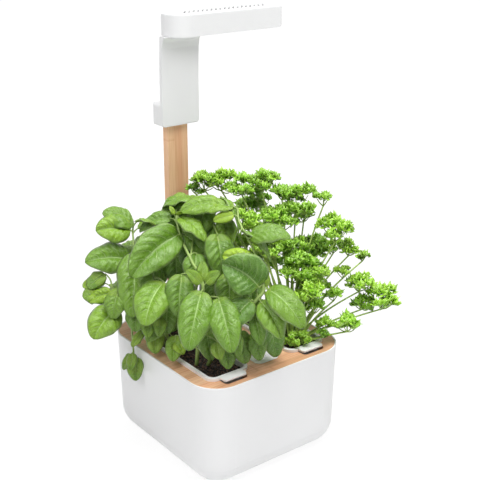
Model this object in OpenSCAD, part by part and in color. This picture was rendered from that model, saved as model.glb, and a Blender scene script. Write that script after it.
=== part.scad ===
// Countertop hydroponic garden: a moulded casing with a water tank, a bamboo lid that carries two
// plant trays, and a lamp whose arm slides on a bamboo mast and whose head swivels.
// Origin: centre of the resting plane. +Z up, the front of the casing faces -Y.

/* [Casing] */
// Width of the bamboo lid, left to right
lid_w = 240; // [228:1:252]
// Depth of the bamboo lid, front to back
lid_d = 255; // [248:1:264]
// Plan radius of the lid's corners
lid_r = 41; // [36:1:44]
// Height of the casing from its underside to its rim
casing_h = 159.5; // [150:0.5:172]
// Thickness of the rim that stands round the lid
rim_t = 2; // [1.6:0.1:2.6]
// Wall of the casing below the rim
casing_wall = 2.6; // [2:0.1:3]
// How far each side leans in from the rim to the base
casing_draft = 3.6; // [2:0.1:4.2]
// Radius of the edge between the sides and the base
base_r = 38; // [30:1:38]
// Thickness of the bamboo lid
lid_t = 8; // [6:0.5:10]
// Free gap round the lid
lid_gap = 0.3; // [0.2:0.05:0.6]
// Radius of a rubber foot
foot_r = 9; // [6:0.5:10]
// How far the feet stand out under the casing
foot_proud = 1.5; // [1:0.25:2.5]

/* [Water tank] */
// Wall of the water tank
tank_wall = 2; // [1.5:0.1:2.6]
// Thickness of the flange that hangs the tank in the casing
flange_t = 2; // [1.6:0.1:3]
// Free height under the tank
tank_floor_z = 10; // [9:0.5:16]
// Depth of the bay behind the tank, for the mast and the electronics
rear_bay = 33; // [31:0.5:36]
// Radius of the float in its guide
float_r = 10; // [8:0.5:12]

/* [Plant trays] */
// Width of a tray's rim
tray_w = 68; // [64:0.5:71]
// Bamboo left between a tray and the lid's side
side_strip = 18; // [16:0.5:22]
// Bamboo left in front of the trays
front_strip = 22.5; // [20:0.5:26]
// Bamboo left behind the trays
back_strip = 38.5; // [37:0.5:46]
// Plan radius of a tray's rim corners
tray_r = 14; // [13:0.5:18]
// Wall of a tray
tray_wall = 1.8; // [1.4:0.1:2.4]
// Depth of a tray under the lid's top face
tray_depth = 72; // [50:1:90]
// Height of the tray's rim over the lid
tray_rim_h = 4.2; // [3:0.1:6]
// How far the rim lies over the lid on each side
tray_lap = 2.6; // [2:0.1:3.2]
// Width of the grip tab at a tray's front
tab_w = 37; // [28:0.5:40]
// Reach of the grip tab
tab_l = 11; // [8:0.5:12]
// Radius of a wick
wick_r = 4; // [3:0.25:5]
// Width of the filling hatch
hatch_w = 39; // [32:0.5:44]
// Length of the filling hatch
hatch_l = 122; // [90:1:140]
// Bamboo left in front of the hatch
hatch_strip = 26; // [22:0.5:40]

/* [Lamp] */
// Width of the bamboo mast
mast_w = 34; // [28:0.5:40]
// Thickness of the bamboo mast
mast_t = 12; // [10:0.5:13]
// Distance from the mast's rear face to the lid's back edge
mast_margin = 3.5; // [2.5:0.5:5.5]
// Distance from the mast's front face to the front face of the arm's plate
arm_reach = 10; // [9:0.25:12]
// Running clearance of the collar on the mast
mast_gap = 0.35; // [0.2:0.05:0.6]
// Height of the underside of the lamp head over the resting plane
lamp_z = 580; // [540:1:620]
// How far the lamp slides down the mast
lamp_travel = 100; // [60:1:110]
// Width of the lamp arm
arm_w = 62; // [54:0.5:70]
// Thickness of the arm's plate
arm_t = 6; // [4.5:0.25:8]
// Height of the arm from its lower edge to the lamp head
arm_h = 127.5; // [118:0.5:140]
// Height of the collar round the mast
collar_h = 32; // [24:0.5:40]
// Length of the lamp head
head_l = 186; // [150:1:210]
// Width of the lamp head, which is also the diameter of its round end
head_w = 55.2; // [50:0.2:62]
// Height of the lamp head
head_h = 30; // [24:0.5:36]
// Wall of the lamp head
head_wall = 2.2; // [1.6:0.1:3]
// Number of ventilation slots
vent_count = 19; // [8:1:21]
// Rows of light-emitting diodes
led_rows = 3; // [2:1:4]
// Diodes in a row
led_cols = 12; // [6:1:14]

/* [Hidden] */
$fn = 64;
eps = 0.01;

seat_gap = 0.2;                       // play of a piece that lies loosely in its seat
casing_z0 = foot_proud;
rim_z = casing_z0 + casing_h;
lid_top = rim_z - seat_gap;
lid_z0 = lid_top - lid_t;
ledge_z = lid_z0 - flange_t;          // where the tank's flange rests
casing_w = lid_w + 2 * (lid_gap + rim_t);
casing_d = lid_d + 2 * (lid_gap + rim_t);
casing_r = lid_r + lid_gap + rim_t;
ledge_w = 5;
mast_front = lid_d / 2 - mast_margin - mast_t;
tray_l = lid_d - front_strip - back_strip;
tray_y = (front_strip - back_strip) / 2;
tray_pitch = lid_w - 2 * side_strip - tray_w;   // between the centre lines of the two trays

// ---------------------------------------------------------------- shared shapes

// Inset of a drafted wall with a round lower edge, at height z over its underside
function inset(z, h, draft, r) =
    draft * (1 - max(z, r) / h) + (z < r ? r - sqrt(max(0, r * r - (r - z) * (r - z))) : 0);

// Heights at which the wall's outline has a point: close together on the round edge
function wall_steps(h, r, n = 9) = [for (i = [0:n]) r * (1 - cos(90 * i / n)), h];

// A solid with a rounded rectangular plan, leaning walls and a round lower edge
module tub(w, d, r, h, draft, edge) {
    steps = wall_steps(h, edge);
    corner = concat([[0, 0]], [for (z = steps) [r - inset(z, h, draft, edge), z]], [[0, h]]);
    across_x = concat([for (z = steps) [w / 2 - inset(z, h, draft, edge), z]],
                      [for (i = [len(steps) - 1:-1:0])
                          [-w / 2 + inset(steps[i], h, draft, edge), steps[i]]]);
    across_y = concat([for (z = steps) [d / 2 - inset(z, h, draft, edge), z]],
                      [for (i = [len(steps) - 1:-1:0])
                          [-d / 2 + inset(steps[i], h, draft, edge), steps[i]]]);
    for (sx = [-1, 1], sy = [-1, 1])
        translate([sx * (w / 2 - r), sy * (d / 2 - r), 0])
            rotate_extrude($fn = 96) polygon(corner);
    translate([0, d / 2 - r, 0]) rotate([90, 0, 0])
        linear_extrude(height = d - 2 * r) polygon(across_x);
    translate([-(w / 2 - r), 0, 0]) rotate([90, 0, 90])
        linear_extrude(height = w - 2 * r) polygon(across_y);
}

// Outline of a rectangle with round corners
module round_rect(w, d, r) {
    square([w - 2 * r, d], center = true);
    square([w, d - 2 * r], center = true);
    for (sx = [-1, 1], sy = [-1, 1])
        translate([sx * (w / 2 - r), sy * (d / 2 - r)]) circle(r);
}

// A plate of that outline
module round_plate(w, d, r, t) {
    linear_extrude(height = t) round_rect(w, d, r);
}

// A pan-head screw, its head up
module screw(r, length, head_r, head_h) {
    difference() {
        union() {
            translate([0, 0, -length]) cylinder(r = r, h = length + eps, $fn = 24);
            cylinder(r = head_r, h = head_h, $fn = 32);
        }
        for (a = [0, 90]) rotate(a)
            translate([-head_r * 0.6, -r * 0.2, head_h * 0.45])
                cube([head_r * 1.2, r * 0.4, head_h]);
    }
}

// ---------------------------------------------------------------- casing

inlet_pos = [44, casing_z0 + 60.5];                 // the power inlet on the back wall, x and z
button_pos = [68, casing_z0 + 60.5];                // the push button on the back wall
inlet_r = 5.5;
button_r = 7;
button_gap = 0.08;

module casing() {
    color("whitesmoke") difference() {
        translate([0, 0, casing_z0])
            tub(casing_w, casing_d, casing_r, casing_h, casing_draft, base_r);
        // hollow under the ledge
        translate([0, 0, casing_z0 + casing_wall])
            tub(casing_w - 2 * casing_wall, casing_d - 2 * casing_wall, casing_r - casing_wall,
                ledge_z - casing_z0 - casing_wall - 2 * ledge_w,
                casing_draft, base_r - casing_wall);
        // hollow inside the ledge
        translate([0, 0, ledge_z - 2 * ledge_w - eps])
            round_plate(lid_w - 2 * ledge_w, lid_d - 2 * ledge_w, lid_r - ledge_w,
                        2 * ledge_w + 2 * eps);
        // seat of the flange and the lid
        translate([0, 0, ledge_z])
            round_plate(lid_w + 2 * lid_gap, lid_d + 2 * lid_gap, lid_r + lid_gap,
                        casing_h);
        // way for the mast and its socket through the ledge
        translate([-socket_w / 2 - 1, mast_front - socket_wall - 1, ledge_z - 3 * ledge_w])
            cube([socket_w + 2, mast_t + socket_wall + 1 + mast_gap, 4 * ledge_w]);
        // holes of the inlet and the button
        translate([inlet_pos[0], casing_d / 2 - bore_reach, inlet_pos[1]]) rotate([-90, 0, 0])
            cylinder(r = inlet_r + seat_gap, h = 2 * bore_reach);
        translate([button_pos[0], casing_d / 2 - bore_reach, button_pos[1]]) rotate([-90, 0, 0])
            cylinder(r = button_r + button_gap, h = 2 * bore_reach);
        // pockets of the feet
        for (p = foot_places) translate([p[0], p[1], casing_z0 - eps])
            cylinder(r = foot_r + 0.1, h = foot_sunk + eps);
    }
}

bore_reach = 20;                      // how far the rear bores are cut in and out
foot_sunk = 1;                        // depth of a foot's pocket
foot_bevel = 0.8;
foot_inset = [58, 59.5];              // from the lid's edges to the middle of a foot
foot_x = lid_w / 2 - foot_inset[0];
foot_y = lid_d / 2 - foot_inset[1];
foot_places = [[0, 0], [-foot_x, -foot_y], [foot_x, -foot_y], [-foot_x, foot_y], [foot_x, foot_y]];

module feet() {
    color("dimgray") for (p = foot_places) translate([p[0], p[1], 0])
        rotate_extrude() polygon([
            [0, 0], [foot_r - foot_bevel, 0], [foot_r, foot_bevel],
            [foot_r, foot_proud + foot_sunk], [0, foot_proud + foot_sunk]]);
}

// ---------------------------------------------------------------- water tank

tank_gap_side = 12;                   // from the lid's edge to the tank's side
tank_w = lid_w - 2 * tank_gap_side;
tank_front = -lid_d / 2 + tank_gap_side;
tank_back = lid_d / 2 - rear_bay;
tank_d = tank_back - tank_front;
tank_y = (tank_front + tank_back) / 2;
tank_r = 30;
tank_edge = 24;
tank_draft = 5;
tank_h = ledge_z - tank_floor_z;

module water_tank() {
    color("gainsboro") difference() {
        union() {
            translate([0, tank_y, tank_floor_z])
                tub(tank_w, tank_d, tank_r, tank_h + eps, tank_draft, tank_edge);
            translate([0, 0, ledge_z])
                round_plate(lid_w - 2 * seat_gap, lid_d - 2 * seat_gap, lid_r - seat_gap, flange_t);
        }
        translate([0, tank_y, tank_floor_z + tank_wall])
            tub(tank_w - 2 * tank_wall, tank_d - 2 * tank_wall, tank_r - tank_wall,
                tank_h + flange_t, tank_draft, tank_edge - tank_wall);
        translate([-socket_w / 2 - 1, mast_front - socket_wall - 1, ledge_z - 1])
            cube([socket_w + 2, lid_d, flange_t + 2]);
    }
}

guide_x = 0;
guide_y = tank_front + 53.5;
guide_wall = 1.6;
guide_h = 104;
float_h = 16;
float_travel = guide_h - float_h - 24;
guide_z = tank_floor_z + tank_wall;

// An open tube on the tank's floor, with two slots that let the water in
module float_guide() {
    color("white") difference() {
        translate([guide_x, guide_y, guide_z])
            cylinder(r = float_r + 1 + guide_wall, h = guide_h);
        translate([guide_x, guide_y, guide_z - eps])
            cylinder(r = float_r + 1, h = guide_h + 2 * eps);
        translate([guide_x - 2.5, guide_y - 30, guide_z - eps]) cube([5, 60, guide_h - 12]);
    }
}

module level_float() {
    color("orangered") translate([guide_x, guide_y, guide_z + 0.3])
        rotate_extrude() polygon([
            [0, 0], [float_r - 2, 0], [float_r, 2], [float_r, float_h - 2],
            [float_r - 2, float_h], [2.2, float_h], [2.2, float_h + 22],
            [3.4, float_h + 23], [3.4, float_h + 26], [0, float_h + 27]]);
}

// ---------------------------------------------------------------- mast and electronics

socket_wall = 3.4;
socket_w = mast_w + 2 * (seat_gap + socket_wall);
socket_z0 = 42;
socket_z1 = ledge_z - 2;
socket_floor = 4;
mast_z0 = socket_z0 + socket_floor;
mast_z1 = lamp_z - lamp_travel - 5;

// A channel that is open to the back wall, with a floor under the mast
module mast_socket() {
    color("lightgray") difference() {
        union() {
            translate([-socket_w / 2, mast_front - socket_wall, socket_z0])
                cube([socket_w, mast_t + socket_wall, socket_z1 - socket_z0]);
            for (z = [socket_z0 + 12, socket_z1 - 30])
                translate([-socket_w / 2 - 8, mast_front - socket_wall, z])
                    cube([socket_w + 16, 3, 18]);
        }
        translate([-mast_w / 2 - seat_gap, mast_front - 0.1, mast_z0])
            cube([mast_w + 2 * seat_gap, mast_t + 1, socket_z1]);
        for (z = mast_screw_z) translate([0, mast_front - 20, z]) rotate([-90, 0, 0])
            cylinder(r = mast_screw_r, h = 22);
    }
}

mast_screw_rise = [24, 16];           // from the socket's ends to the screws
mast_screw_z = [socket_z0 + mast_screw_rise[0], socket_z1 - mast_screw_rise[1]];
mast_screw_r = 2;
mast_screw_l = 10;

module mast() {
    color("burlywood") difference() {
        translate([-mast_w / 2, mast_front, mast_z0])
            cube([mast_w, mast_t, mast_z1 - mast_z0]);
        for (z = mast_screw_z) translate([0, mast_front - eps, z]) rotate([-90, 0, 0])
            cylinder(r = mast_screw_r, h = mast_screw_l - socket_wall + 0.2);
    }
}

module mast_screws() {
    color("silver") for (z = mast_screw_z)
        translate([0, mast_front - socket_wall, z]) rotate([90, 0, 0])
            screw(mast_screw_r - 0.05, mast_screw_l, 1.9 * mast_screw_r, 1.1 * mast_screw_r);
}

board_y = tank_back + 6.5;
board_t = 1.6;
board_w = 50;
board_h = 46;
board_side = 10;                      // from the inlet's middle to the board's edge
board_drop = 18;                      // from the inlet's middle to the board's lower edge
board_x = inlet_pos[0] - board_side;
board_z0 = inlet_pos[1] - board_drop;
coil = [10, 9, 16];
coil_at = [18, 24];
chip = [9, 6, 8];
chip_at = [6, 2];
switch = [8, 5, 8];
plunger_r = 2;

// The timer and lamp driver board stands in the rear bay behind the inlet and the button
module control_board() {
    color("darkgreen") {
        translate([board_x, board_y, board_z0]) cube([board_w, board_t, board_h]);
        translate([board_x + coil_at[0], board_y + board_t - eps, board_z0 + coil_at[1]]) cube(coil);
        translate([board_x + chip_at[0], board_y + board_t - eps, board_z0 + chip_at[1]]) cube(chip);
        translate([button_pos[0], board_y + board_t, button_pos[1]]) {
            translate([-switch[0] / 2, 0, -switch[2] / 2]) cube(switch);
            rotate([-90, 0, 0]) cylinder(r = plunger_r, h = button_back - board_y - board_t - 2.3);
        }
    }
}

// Outside of the back wall at the height of the inlet and the button
wall_y = casing_d / 2 - inset(inlet_pos[1] - casing_z0, casing_h, casing_draft, base_r);
inlet_bore_r = 2.8;
inlet_depth = 9;

module dc_inlet() {
    color("black") difference() {
        translate([inlet_pos[0], board_y + board_t, inlet_pos[1]]) {
            translate([-7, 0, -6]) cube([14, wall_y - casing_wall - 0.6 - board_y - board_t, 12]);
            rotate([-90, 0, 0]) cylinder(r = inlet_r, h = wall_y - 0.3 - board_y - board_t);
        }
        translate([inlet_pos[0], wall_y - inlet_depth, inlet_pos[1]]) rotate([-90, 0, 0])
            cylinder(r = inlet_bore_r, h = inlet_depth + 1);
    }
    color("silver") translate([inlet_pos[0], wall_y - inlet_depth - eps, inlet_pos[1]])
        rotate([-90, 0, 0]) cylinder(r = 1, h = inlet_depth - 1, $fn = 24);
}

button_back = wall_y - casing_wall - 3;
button_proud = 2.5;
button_travel = 1.5;

module power_button() {
    color("white") translate([button_pos[0], button_back, button_pos[1]]) rotate([-90, 0, 0]) {
        cylinder(r = button_r + 1.5, h = 1.4);
        rotate_extrude() polygon([
            [0, 0], [button_r, 0], [button_r, wall_y + button_proud - button_back - 0.8],
            [button_r - 0.8, wall_y + button_proud - button_back],
            [0, wall_y + button_proud - button_back - 0.5]]);
    }
}

// ---------------------------------------------------------------- lid and hatch

opening_w = tray_w - 2 * tray_lap;
opening_l = tray_l - 2 * tray_lap;
opening_r = tray_r - tray_lap;
notch_l = 14;                         // reach of the finger notch in front of a tray
tray_front = tray_y - tray_l / 2;
hatch_front = hatch_strip - lid_d / 2;
hatch_y = hatch_front + hatch_l / 2;
hatch_lap = 2;
hatch_t = 2.4;
hatch_gap = 0.3;

module lid() {
    color("burlywood") difference() {
        translate([0, 0, lid_z0]) round_plate(lid_w, lid_d, lid_r, lid_t);
        for (s = [-1, 1]) translate([s * tray_pitch / 2, 0, lid_z0 - 1]) {
            translate([0, tray_y, 0]) round_plate(opening_w, opening_l, opening_r, lid_t + 2);
            translate([0, tray_front - notch_l / 2 + 8, 0])
                round_plate(tab_w + 1, notch_l + 16, 6, lid_t + 2);
        }
        translate([0, hatch_y, lid_z0 - 1])
            round_plate(hatch_w - 2 * hatch_lap, hatch_l - 2 * hatch_lap, 7, lid_t + 2);
        translate([0, hatch_y, lid_top - hatch_t])
            round_plate(hatch_w + 2 * hatch_gap, hatch_l + 2 * hatch_gap, 9 + hatch_gap, lid_t);
        translate([-mast_w / 2 - 0.5, mast_front - 0.5, lid_z0 - 1])
            cube([mast_w + 1, lid_d, lid_t + 2]);
    }
}

module fill_hatch() {
    color("white") {
        translate([0, hatch_y, lid_top - hatch_t + 0.05]) difference() {
            round_plate(hatch_w, hatch_l, 9, hatch_t);
            // finger dip at the front
            translate([0, -hatch_l / 2 + 14, hatch_t + 8.4]) sphere(r = 10);
        }
        // rib that keeps the hatch in its hole
        translate([0, hatch_y, lid_z0 + 1]) difference() {
            round_plate(hatch_w - 2 * hatch_lap - 0.8, hatch_l - 2 * hatch_lap - 0.8, 6.6,
                        lid_t - hatch_t - 1 + 0.06);
            translate([0, 0, -1])
                round_plate(hatch_w - 2 * hatch_lap - 4, hatch_l - 2 * hatch_lap - 4, 5,
                            lid_t - hatch_t + 0.05);
        }
    }
}

// ---------------------------------------------------------------- plant trays

tray_z0 = lid_top - tray_depth;
tray_edge = 7;
tray_draft = 3.4;
body_w = opening_w - 1;
body_l = opening_l - 1;
body_r = opening_r - 0.5;
soil_z = lid_top - 3.8;
wick_inset = 37;                      // from a tray's end to a wick
wick_y = [wick_inset - tray_l / 2, tray_l / 2 - wick_inset];
wick_z0 = tank_floor_z + tank_wall + 1.5;

module tray_shell() {
    difference() {
        union() {
            translate([0, tray_y, tray_z0])
                tub(body_w, body_l, body_r, tray_depth + tray_rim_h, tray_draft, tray_edge);
            // turned-down rim
            translate([0, tray_y, lid_top + 0.1]) round_plate(tray_w, tray_l, tray_r, tray_rim_h - 0.1);
            // grip tab
            translate([0, tray_front - tab_l / 2 + 4, lid_top + tray_rim_h - 2.2])
                round_plate(tab_w, tab_l + 8, 4, 2.2);
            translate([-tab_w / 2 + 2, tray_front - 4, lid_top + 0.1])
                cube([tab_w - 4, 6, tray_rim_h - 1]);
        }
        translate([0, tray_y, tray_z0 + tray_wall])
            tub(body_w - 2 * tray_wall, body_l - 2 * tray_wall, body_r - tray_wall,
                tray_depth + tray_rim_h, tray_draft, tray_edge - tray_wall);
        // hollow under the tab, for a finger
        translate([-tab_w / 2 - 1, tray_front - tab_l - 1, lid_top - 1])
            cube([tab_w + 2, tab_l - 3, tray_rim_h - 2.2 + 1]);
        for (y = wick_y) translate([0, tray_y + y, tray_z0 - 1])
            cylinder(r = wick_r + 0.3, h = tray_wall + 2);
    }
}

// The soil fills the tray up to its own level, with the same lean of the walls
module soil_block() {
    full_h = tray_depth + tray_rim_h;
    soil_h = soil_z - tray_z0 - tray_wall - seat_gap;
    narrower = tray_wall + seat_gap + tray_draft * (full_h - soil_h) / full_h;
    translate([0, tray_y, tray_z0 + tray_wall + seat_gap])
        tub(body_w - 2 * narrower, body_l - 2 * narrower, body_r - narrower, soil_h,
            tray_draft * soil_h / full_h, tray_edge - tray_wall);
}

module wick_pair() {
    for (y = wick_y) translate([0, tray_y + y, wick_z0])
        cylinder(r = wick_r, h = tray_z0 + tray_wall + 0.1 - wick_z0);
}

module left_tray() { color("white") translate([-tray_pitch / 2, 0, 0]) tray_shell(); }
module right_tray() { color("white") translate([tray_pitch / 2, 0, 0]) tray_shell(); }
module left_soil() { color("#2a1f1a") translate([-tray_pitch / 2, 0, 0]) soil_block(); }
module right_soil() { color("#2a1f1a") translate([tray_pitch / 2, 0, 0]) soil_block(); }
module left_wicks() { color("ivory") translate([-tray_pitch / 2, 0, 0]) wick_pair(); }
module right_wicks() { color("ivory") translate([tray_pitch / 2, 0, 0]) wick_pair(); }

// ---------------------------------------------------------------- plants

grown = [68, -8, 157];                // the tray's centre and soil that the plants' points are for
stem_r = 2.2;                         // radius of a basil stem at the soil
leaf_t = 0.8;                         // thickness of a leaf
leaf_rows = 6;                        // steps along a leaf

// The basil's stems, as the points that they pass: middle, left, right, back, low, rear, sprig
basil_stems = [
    [[-84, -47, 159], [-86, -58, 220], [-84, -64, 284], [-78, -30, 306], [-70, 5, 325], [-66, 22, 346]],
    [[-77, 27, 159], [-96, 20, 200], [-110, 35, 262], [-112, 56, 298], [-101, 80, 322]],
    [[-72, -57, 159], [-62, -90, 225], [-34, -112, 264], [-22, -114, 282], [-20, -90, 325],
     [-12, -50, 350], [-2, -32, 364]],
    [[-60, 0, 159], [-46, 10, 230], [-26, 10, 300], [-10, 8, 350], [-4, 8, 368]],
    [[-85, 53, 159], [-115, 45, 195], [-138, 54, 232], [-148, 68, 256]],
    [[-70, 66, 159], [-76, 80, 215], [-68, 74, 280]],
    [[-120, 47, 203], [-129, 44, 201], [-132, 40, 180], [-132, 38, 152]]];

// Each leaf: stem, height at which it leaves the stem, base, then the direction of its midrib in
// plan, its rise at the base, length, width, bend along its length, roll and depth of its cup
basil_leaves = [
    [1, 318, [-103, 80, 322], 160, 20, 50, 44, 30, 50, 0.15],
    [1, 320, [-98, 84, 324], 140, 60, 50, 40, 70, 20, 0],
    [1, 318, [-95, 76, 324], -30, 50, 25, 26, 60, 0, 0.1],
    [1, 282, [-114, 70, 285], 155, 15, 62, 46, 30, 50, 0.1],
    [1, 296, [-115, 50, 300], -135, -35, 92, 52, 40, 0, 0.1],
    [0, 330, [-70, 8, 330], 180, -10, 92, 54, 40, 50, 0.45],
    [0, 342, [-68, 30, 346], 145, 5, 52, 28, 60, 30, 0.2],
    [0, 344, [-64, 18, 350], -70, -5, 55, 36, 50, 0, 0.1],
    [0, 345, [-66, 26, 352], 100, 60, 14, 9, 20, 0, 0.2],
    [0, 345, [-64, 20, 352], -110, 50, 14, 9, 20, 0, 0.2],
    [0, 326, [-58, 14, 325], -65, -20, 38, 28, 30, -40, 0.1],
    [0, 310, [-64, -22, 310], -120, -40, 42, 36, 30, 10, 0.1],
    [3, 358, [-18, 18, 362], 135, 15, 66, 42, 50, -10, 0.1],
    [3, 362, [-4, 2, 370], -95, -15, 60, 34, 60, 50, 0.1],
    [3, 340, [-16, 2, 336], -170, -35, 42, 28, 30, 40, 0.1],
    [3, 320, [-24, 22, 318], 110, 10, 48, 36, 50, 0, 0.1],
    [3, 270, [-36, 24, 270], 85, 15, 45, 36, 60, 0, 0.1],
    [2, 362, [-6, -30, 366], 140, 10, 55, 30, 40, 20, 0.2],
    [2, 354, [-12, -38, 358], 150, -5, 30, 18, 20, 50, 0.1],
    [2, 338, [-22, -84, 340], -50, 45, 60, 40, 80, -20, 0],
    [2, 345, [-22, -66, 345], -65, -10, 60, 30, 60, 30, 0.1],
    [2, 300, [-26, -100, 298], 130, 55, 50, 36, 60, 50, 0.1],
    [2, 284, [-28, -112, 282], 145, 55, 60, 56, 40, 70, 0.5],
    [2, 270, [-30, -118, 264], -85, -20, 58, 38, 50, -20, 0.1],
    [2, 278, [-20, -120, 280], -72, -5, 76, 44, 60, -20, 0.1],
    [2, 276, [-20, -112, 278], 50, 75, 38, 24, 20, -30, 0.1],
    [2, 262, [-42, -114, 268], -175, -25, 46, 36, 30, 30, 0.1],
    [2, 250, [-40, -118, 246], -105, -45, 40, 22, 30, -20, 0.1],
    [2, 225, [-60, -104, 222], -115, -45, 32, 18, 30, -10, 0.1],
    [0, 262, [-74, -84, 270], -105, -30, 78, 42, 40, -20, 0.1],
    [0, 276, [-88, -68, 278], -150, -40, 82, 46, 30, 20, 0.1],
    [0, 282, [-87, -65, 286], 145, 60, 28, 18, 30, 50, 0.1],
    [0, 282, [-84, -62, 287], 50, 80, 28, 18, 30, 0, 0.1],
    [0, 282, [-81, -67, 286], -45, 55, 26, 18, 30, -50, 0.1],
    [1, 262, [-108, -8, 275], -150, -15, 70, 52, 50, 10, 0.1],
    [1, 225, [-122, -18, 232], -135, -45, 28, 20, 30, 10, 0.1],
    [1, 215, [-130, -5, 226], -130, -30, 28, 20, 30, 0, 0.1],
    [1, 185, [-108, -32, 196], -80, -25, 22, 18, 30, -30, 0.1],
    [4, 222, [-148, 50, 226], -170, -10, 60, 46, 50, 30, 0.1],
    [4, 240, [-150, 60, 246], 150, -5, 36, 24, 30, 50, 0.1],
    [4, 240, [-162, 74, 242], 145, 10, 24, 28, 30, 50, 0.1],
    [4, 250, [-156, 84, 256], 150, 0, 24, 20, 30, 50, 0.1],
    [4, 250, [-148, 78, 268], 170, -20, 32, 26, 30, 30, 0.1],
    [4, 212, [-118, 24, 216], 145, 5, 28, 24, 30, 50, 0.1],
    [5, 272, [-78, 88, 280], 120, 25, 55, 42, 60, 0, 0.1],
    [5, 270, [-60, 66, 280], 20, 20, 44, 36, 60, 0, 0.1],
    [5, 225, [-84, 96, 232], 140, 5, 55, 42, 50, 0, 0.1],
    [1, 240, [-92, 44, 250], 60, 20, 45, 36, 60, 0, 0.1],
    [1, 292, [-98, 66, 300], 20, 30, 44, 36, 70, 0, 0.1],
    [6, 156, [-132, 36, 152], -115, -70, 44, 22, 10, 0, 0.1],
    [6, 158, [-134, 42, 154], 160, -50, 26, 18, 20, 20, 0.1],
    [6, 162, [-136, 34, 160], -140, -40, 24, 16, 20, 0, 0.1],
    [0, 288, [-96, -34, 292], -135, -50, 58, 40, 30, 10, 0.1],
    [1, 238, [-102, -8, 246], -120, -55, 46, 34, 30, 0, 0.1],
    [3, 330, [-34, -28, 334], -115, -50, 60, 44, 40, 10, 0.1],
    [2, 292, [-36, -60, 288], -130, -50, 50, 40, 40, 0, 0.1],
    [3, 362, [-16, -14, 368], 150, 10, 58, 34, 40, 30, 0.1],
    [3, 340, [-4, -4, 342], -110, -35, 42, 32, 40, 0, 0.1],
    [4, 190, [-112, 6, 200], -130, -50, 34, 26, 30, 0, 0.1],
    [0, 185, [-104, -28, 202], -140, -45, 36, 26, 30, 0, 0.1],
    [0, 215, [-78, -62, 220], -100, -55, 46, 32, 20, 0, 0.1],
    [2, 215, [-44, -92, 216], -90, -55, 46, 34, 30, 0, 0.1],
    [2, 200, [-70, -88, 206], -100, -50, 38, 28, 30, 0, 0.1],
    [2, 235, [-4, -98, 222], -80, -55, 54, 40, 30, -10, 0.1],
    [2, 232, [-26, -104, 216], -100, -55, 42, 30, 30, 0, 0.1],
    [1, 320, [-104, 62, 340], -70, 25, 36, 26, 50, 20, 0.1],
    [3, 300, [-46, 14, 322], -130, -45, 50, 36, 30, 0, 0.1],
    [5, 250, [-60, 84, 262], 60, 0, 46, 36, 50, 0, 0.1],
    [3, 250, [-26, 30, 262], 100, 10, 44, 36, 60, 0, 0.1],
    [1, 200, [-100, 4, 210], -170, -10, 40, 30, 40, 0, 0.1]];

// The parsley's stalks: where each starts on the soil, where its crown is, and the crown's radius
parsley_stalks = [
    [[50, -70], [16, 70, 384], 21], [[52, -66], [36, 56, 386], 24], [[56, -62], [48, 24, 386], 23],
    [[60, -58], [72, 8, 391], 23], [[62, -62], [84, 32, 360], 19], [[58, -74], [42, -8, 338], 26],
    [[66, -66], [109, -24, 368], 30], [[64, -70], [78, -28, 342], 26], [[62, -78], [58, -30, 308], 26],
    [[72, -60], [140, -48, 358], 14], [[70, -72], [134, -82, 330], 27], [[74, -66], [158, -86, 292], 16],
    [[66, -78], [88, -64, 284], 28], [[68, -70], [115, -60, 244], 25], [[76, -74], [162, -106, 246], 20],
    [[74, -80], [186, -130, 226], 25], [[68, -86], [122, -126, 200], 22], [[66, -84], [76, -94, 252], 22],
    [[74, -56], [112, 12, 330], 26], [[70, -50], [84, 52, 336], 27], [[78, -58], [144, -14, 274], 27],
    [[62, -50], [52, 34, 290], 26], [[80, -64], [146, -30, 288], 22], [[72, -44], [96, 28, 262], 27],
    [[52, -58], [8, 82, 366], 11], [[78, -70], [204, -72, 262], 10], [[78, -78], [164, -112, 216], 17],
    [[72, -82], [100, -104, 197], 17], [[60, -86], [64, -98, 180], 14], [[72, -88], [90, -112, 184], 13],
    [[54, -82], [47, -92, 181], 12], [[76, -62], [137, -10, 330], 19], [[70, -60], [88, -18, 372], 16],
    [[76, -68], [152, -60, 288], 15]];
stalk_r = 1.3;

// A point of a stem at a height
function on_stem(p, z, i = 0) =
    i >= len(p) - 2 || z <= p[i + 1][2]
        ? p[i] + (p[i + 1] - p[i]) * max(0, min(1, (z - p[i][2]) / (p[i + 1][2] - p[i][2])))
        : on_stem(p, z, i + 1);

// Midrib of a leaf: an arc in a vertical plane, t from 0 at the base to 1 at the tip
function midrib(az, rise, l, bend, t) =
    let (k = l * 180 / PI / bend, a = rise - bend * t,
         h = k * (sin(rise) - sin(a)), v = k * (cos(a) - cos(rise)))
    [h * cos(az), h * sin(az), v];

// Half the width of a leaf: pointed at both ends, widest at two fifths of its length
function half_width(w, t) = 0.3 + w / 2 * pow(max(0, sin(180 * pow(t, 0.76))), 0.7);

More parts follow.
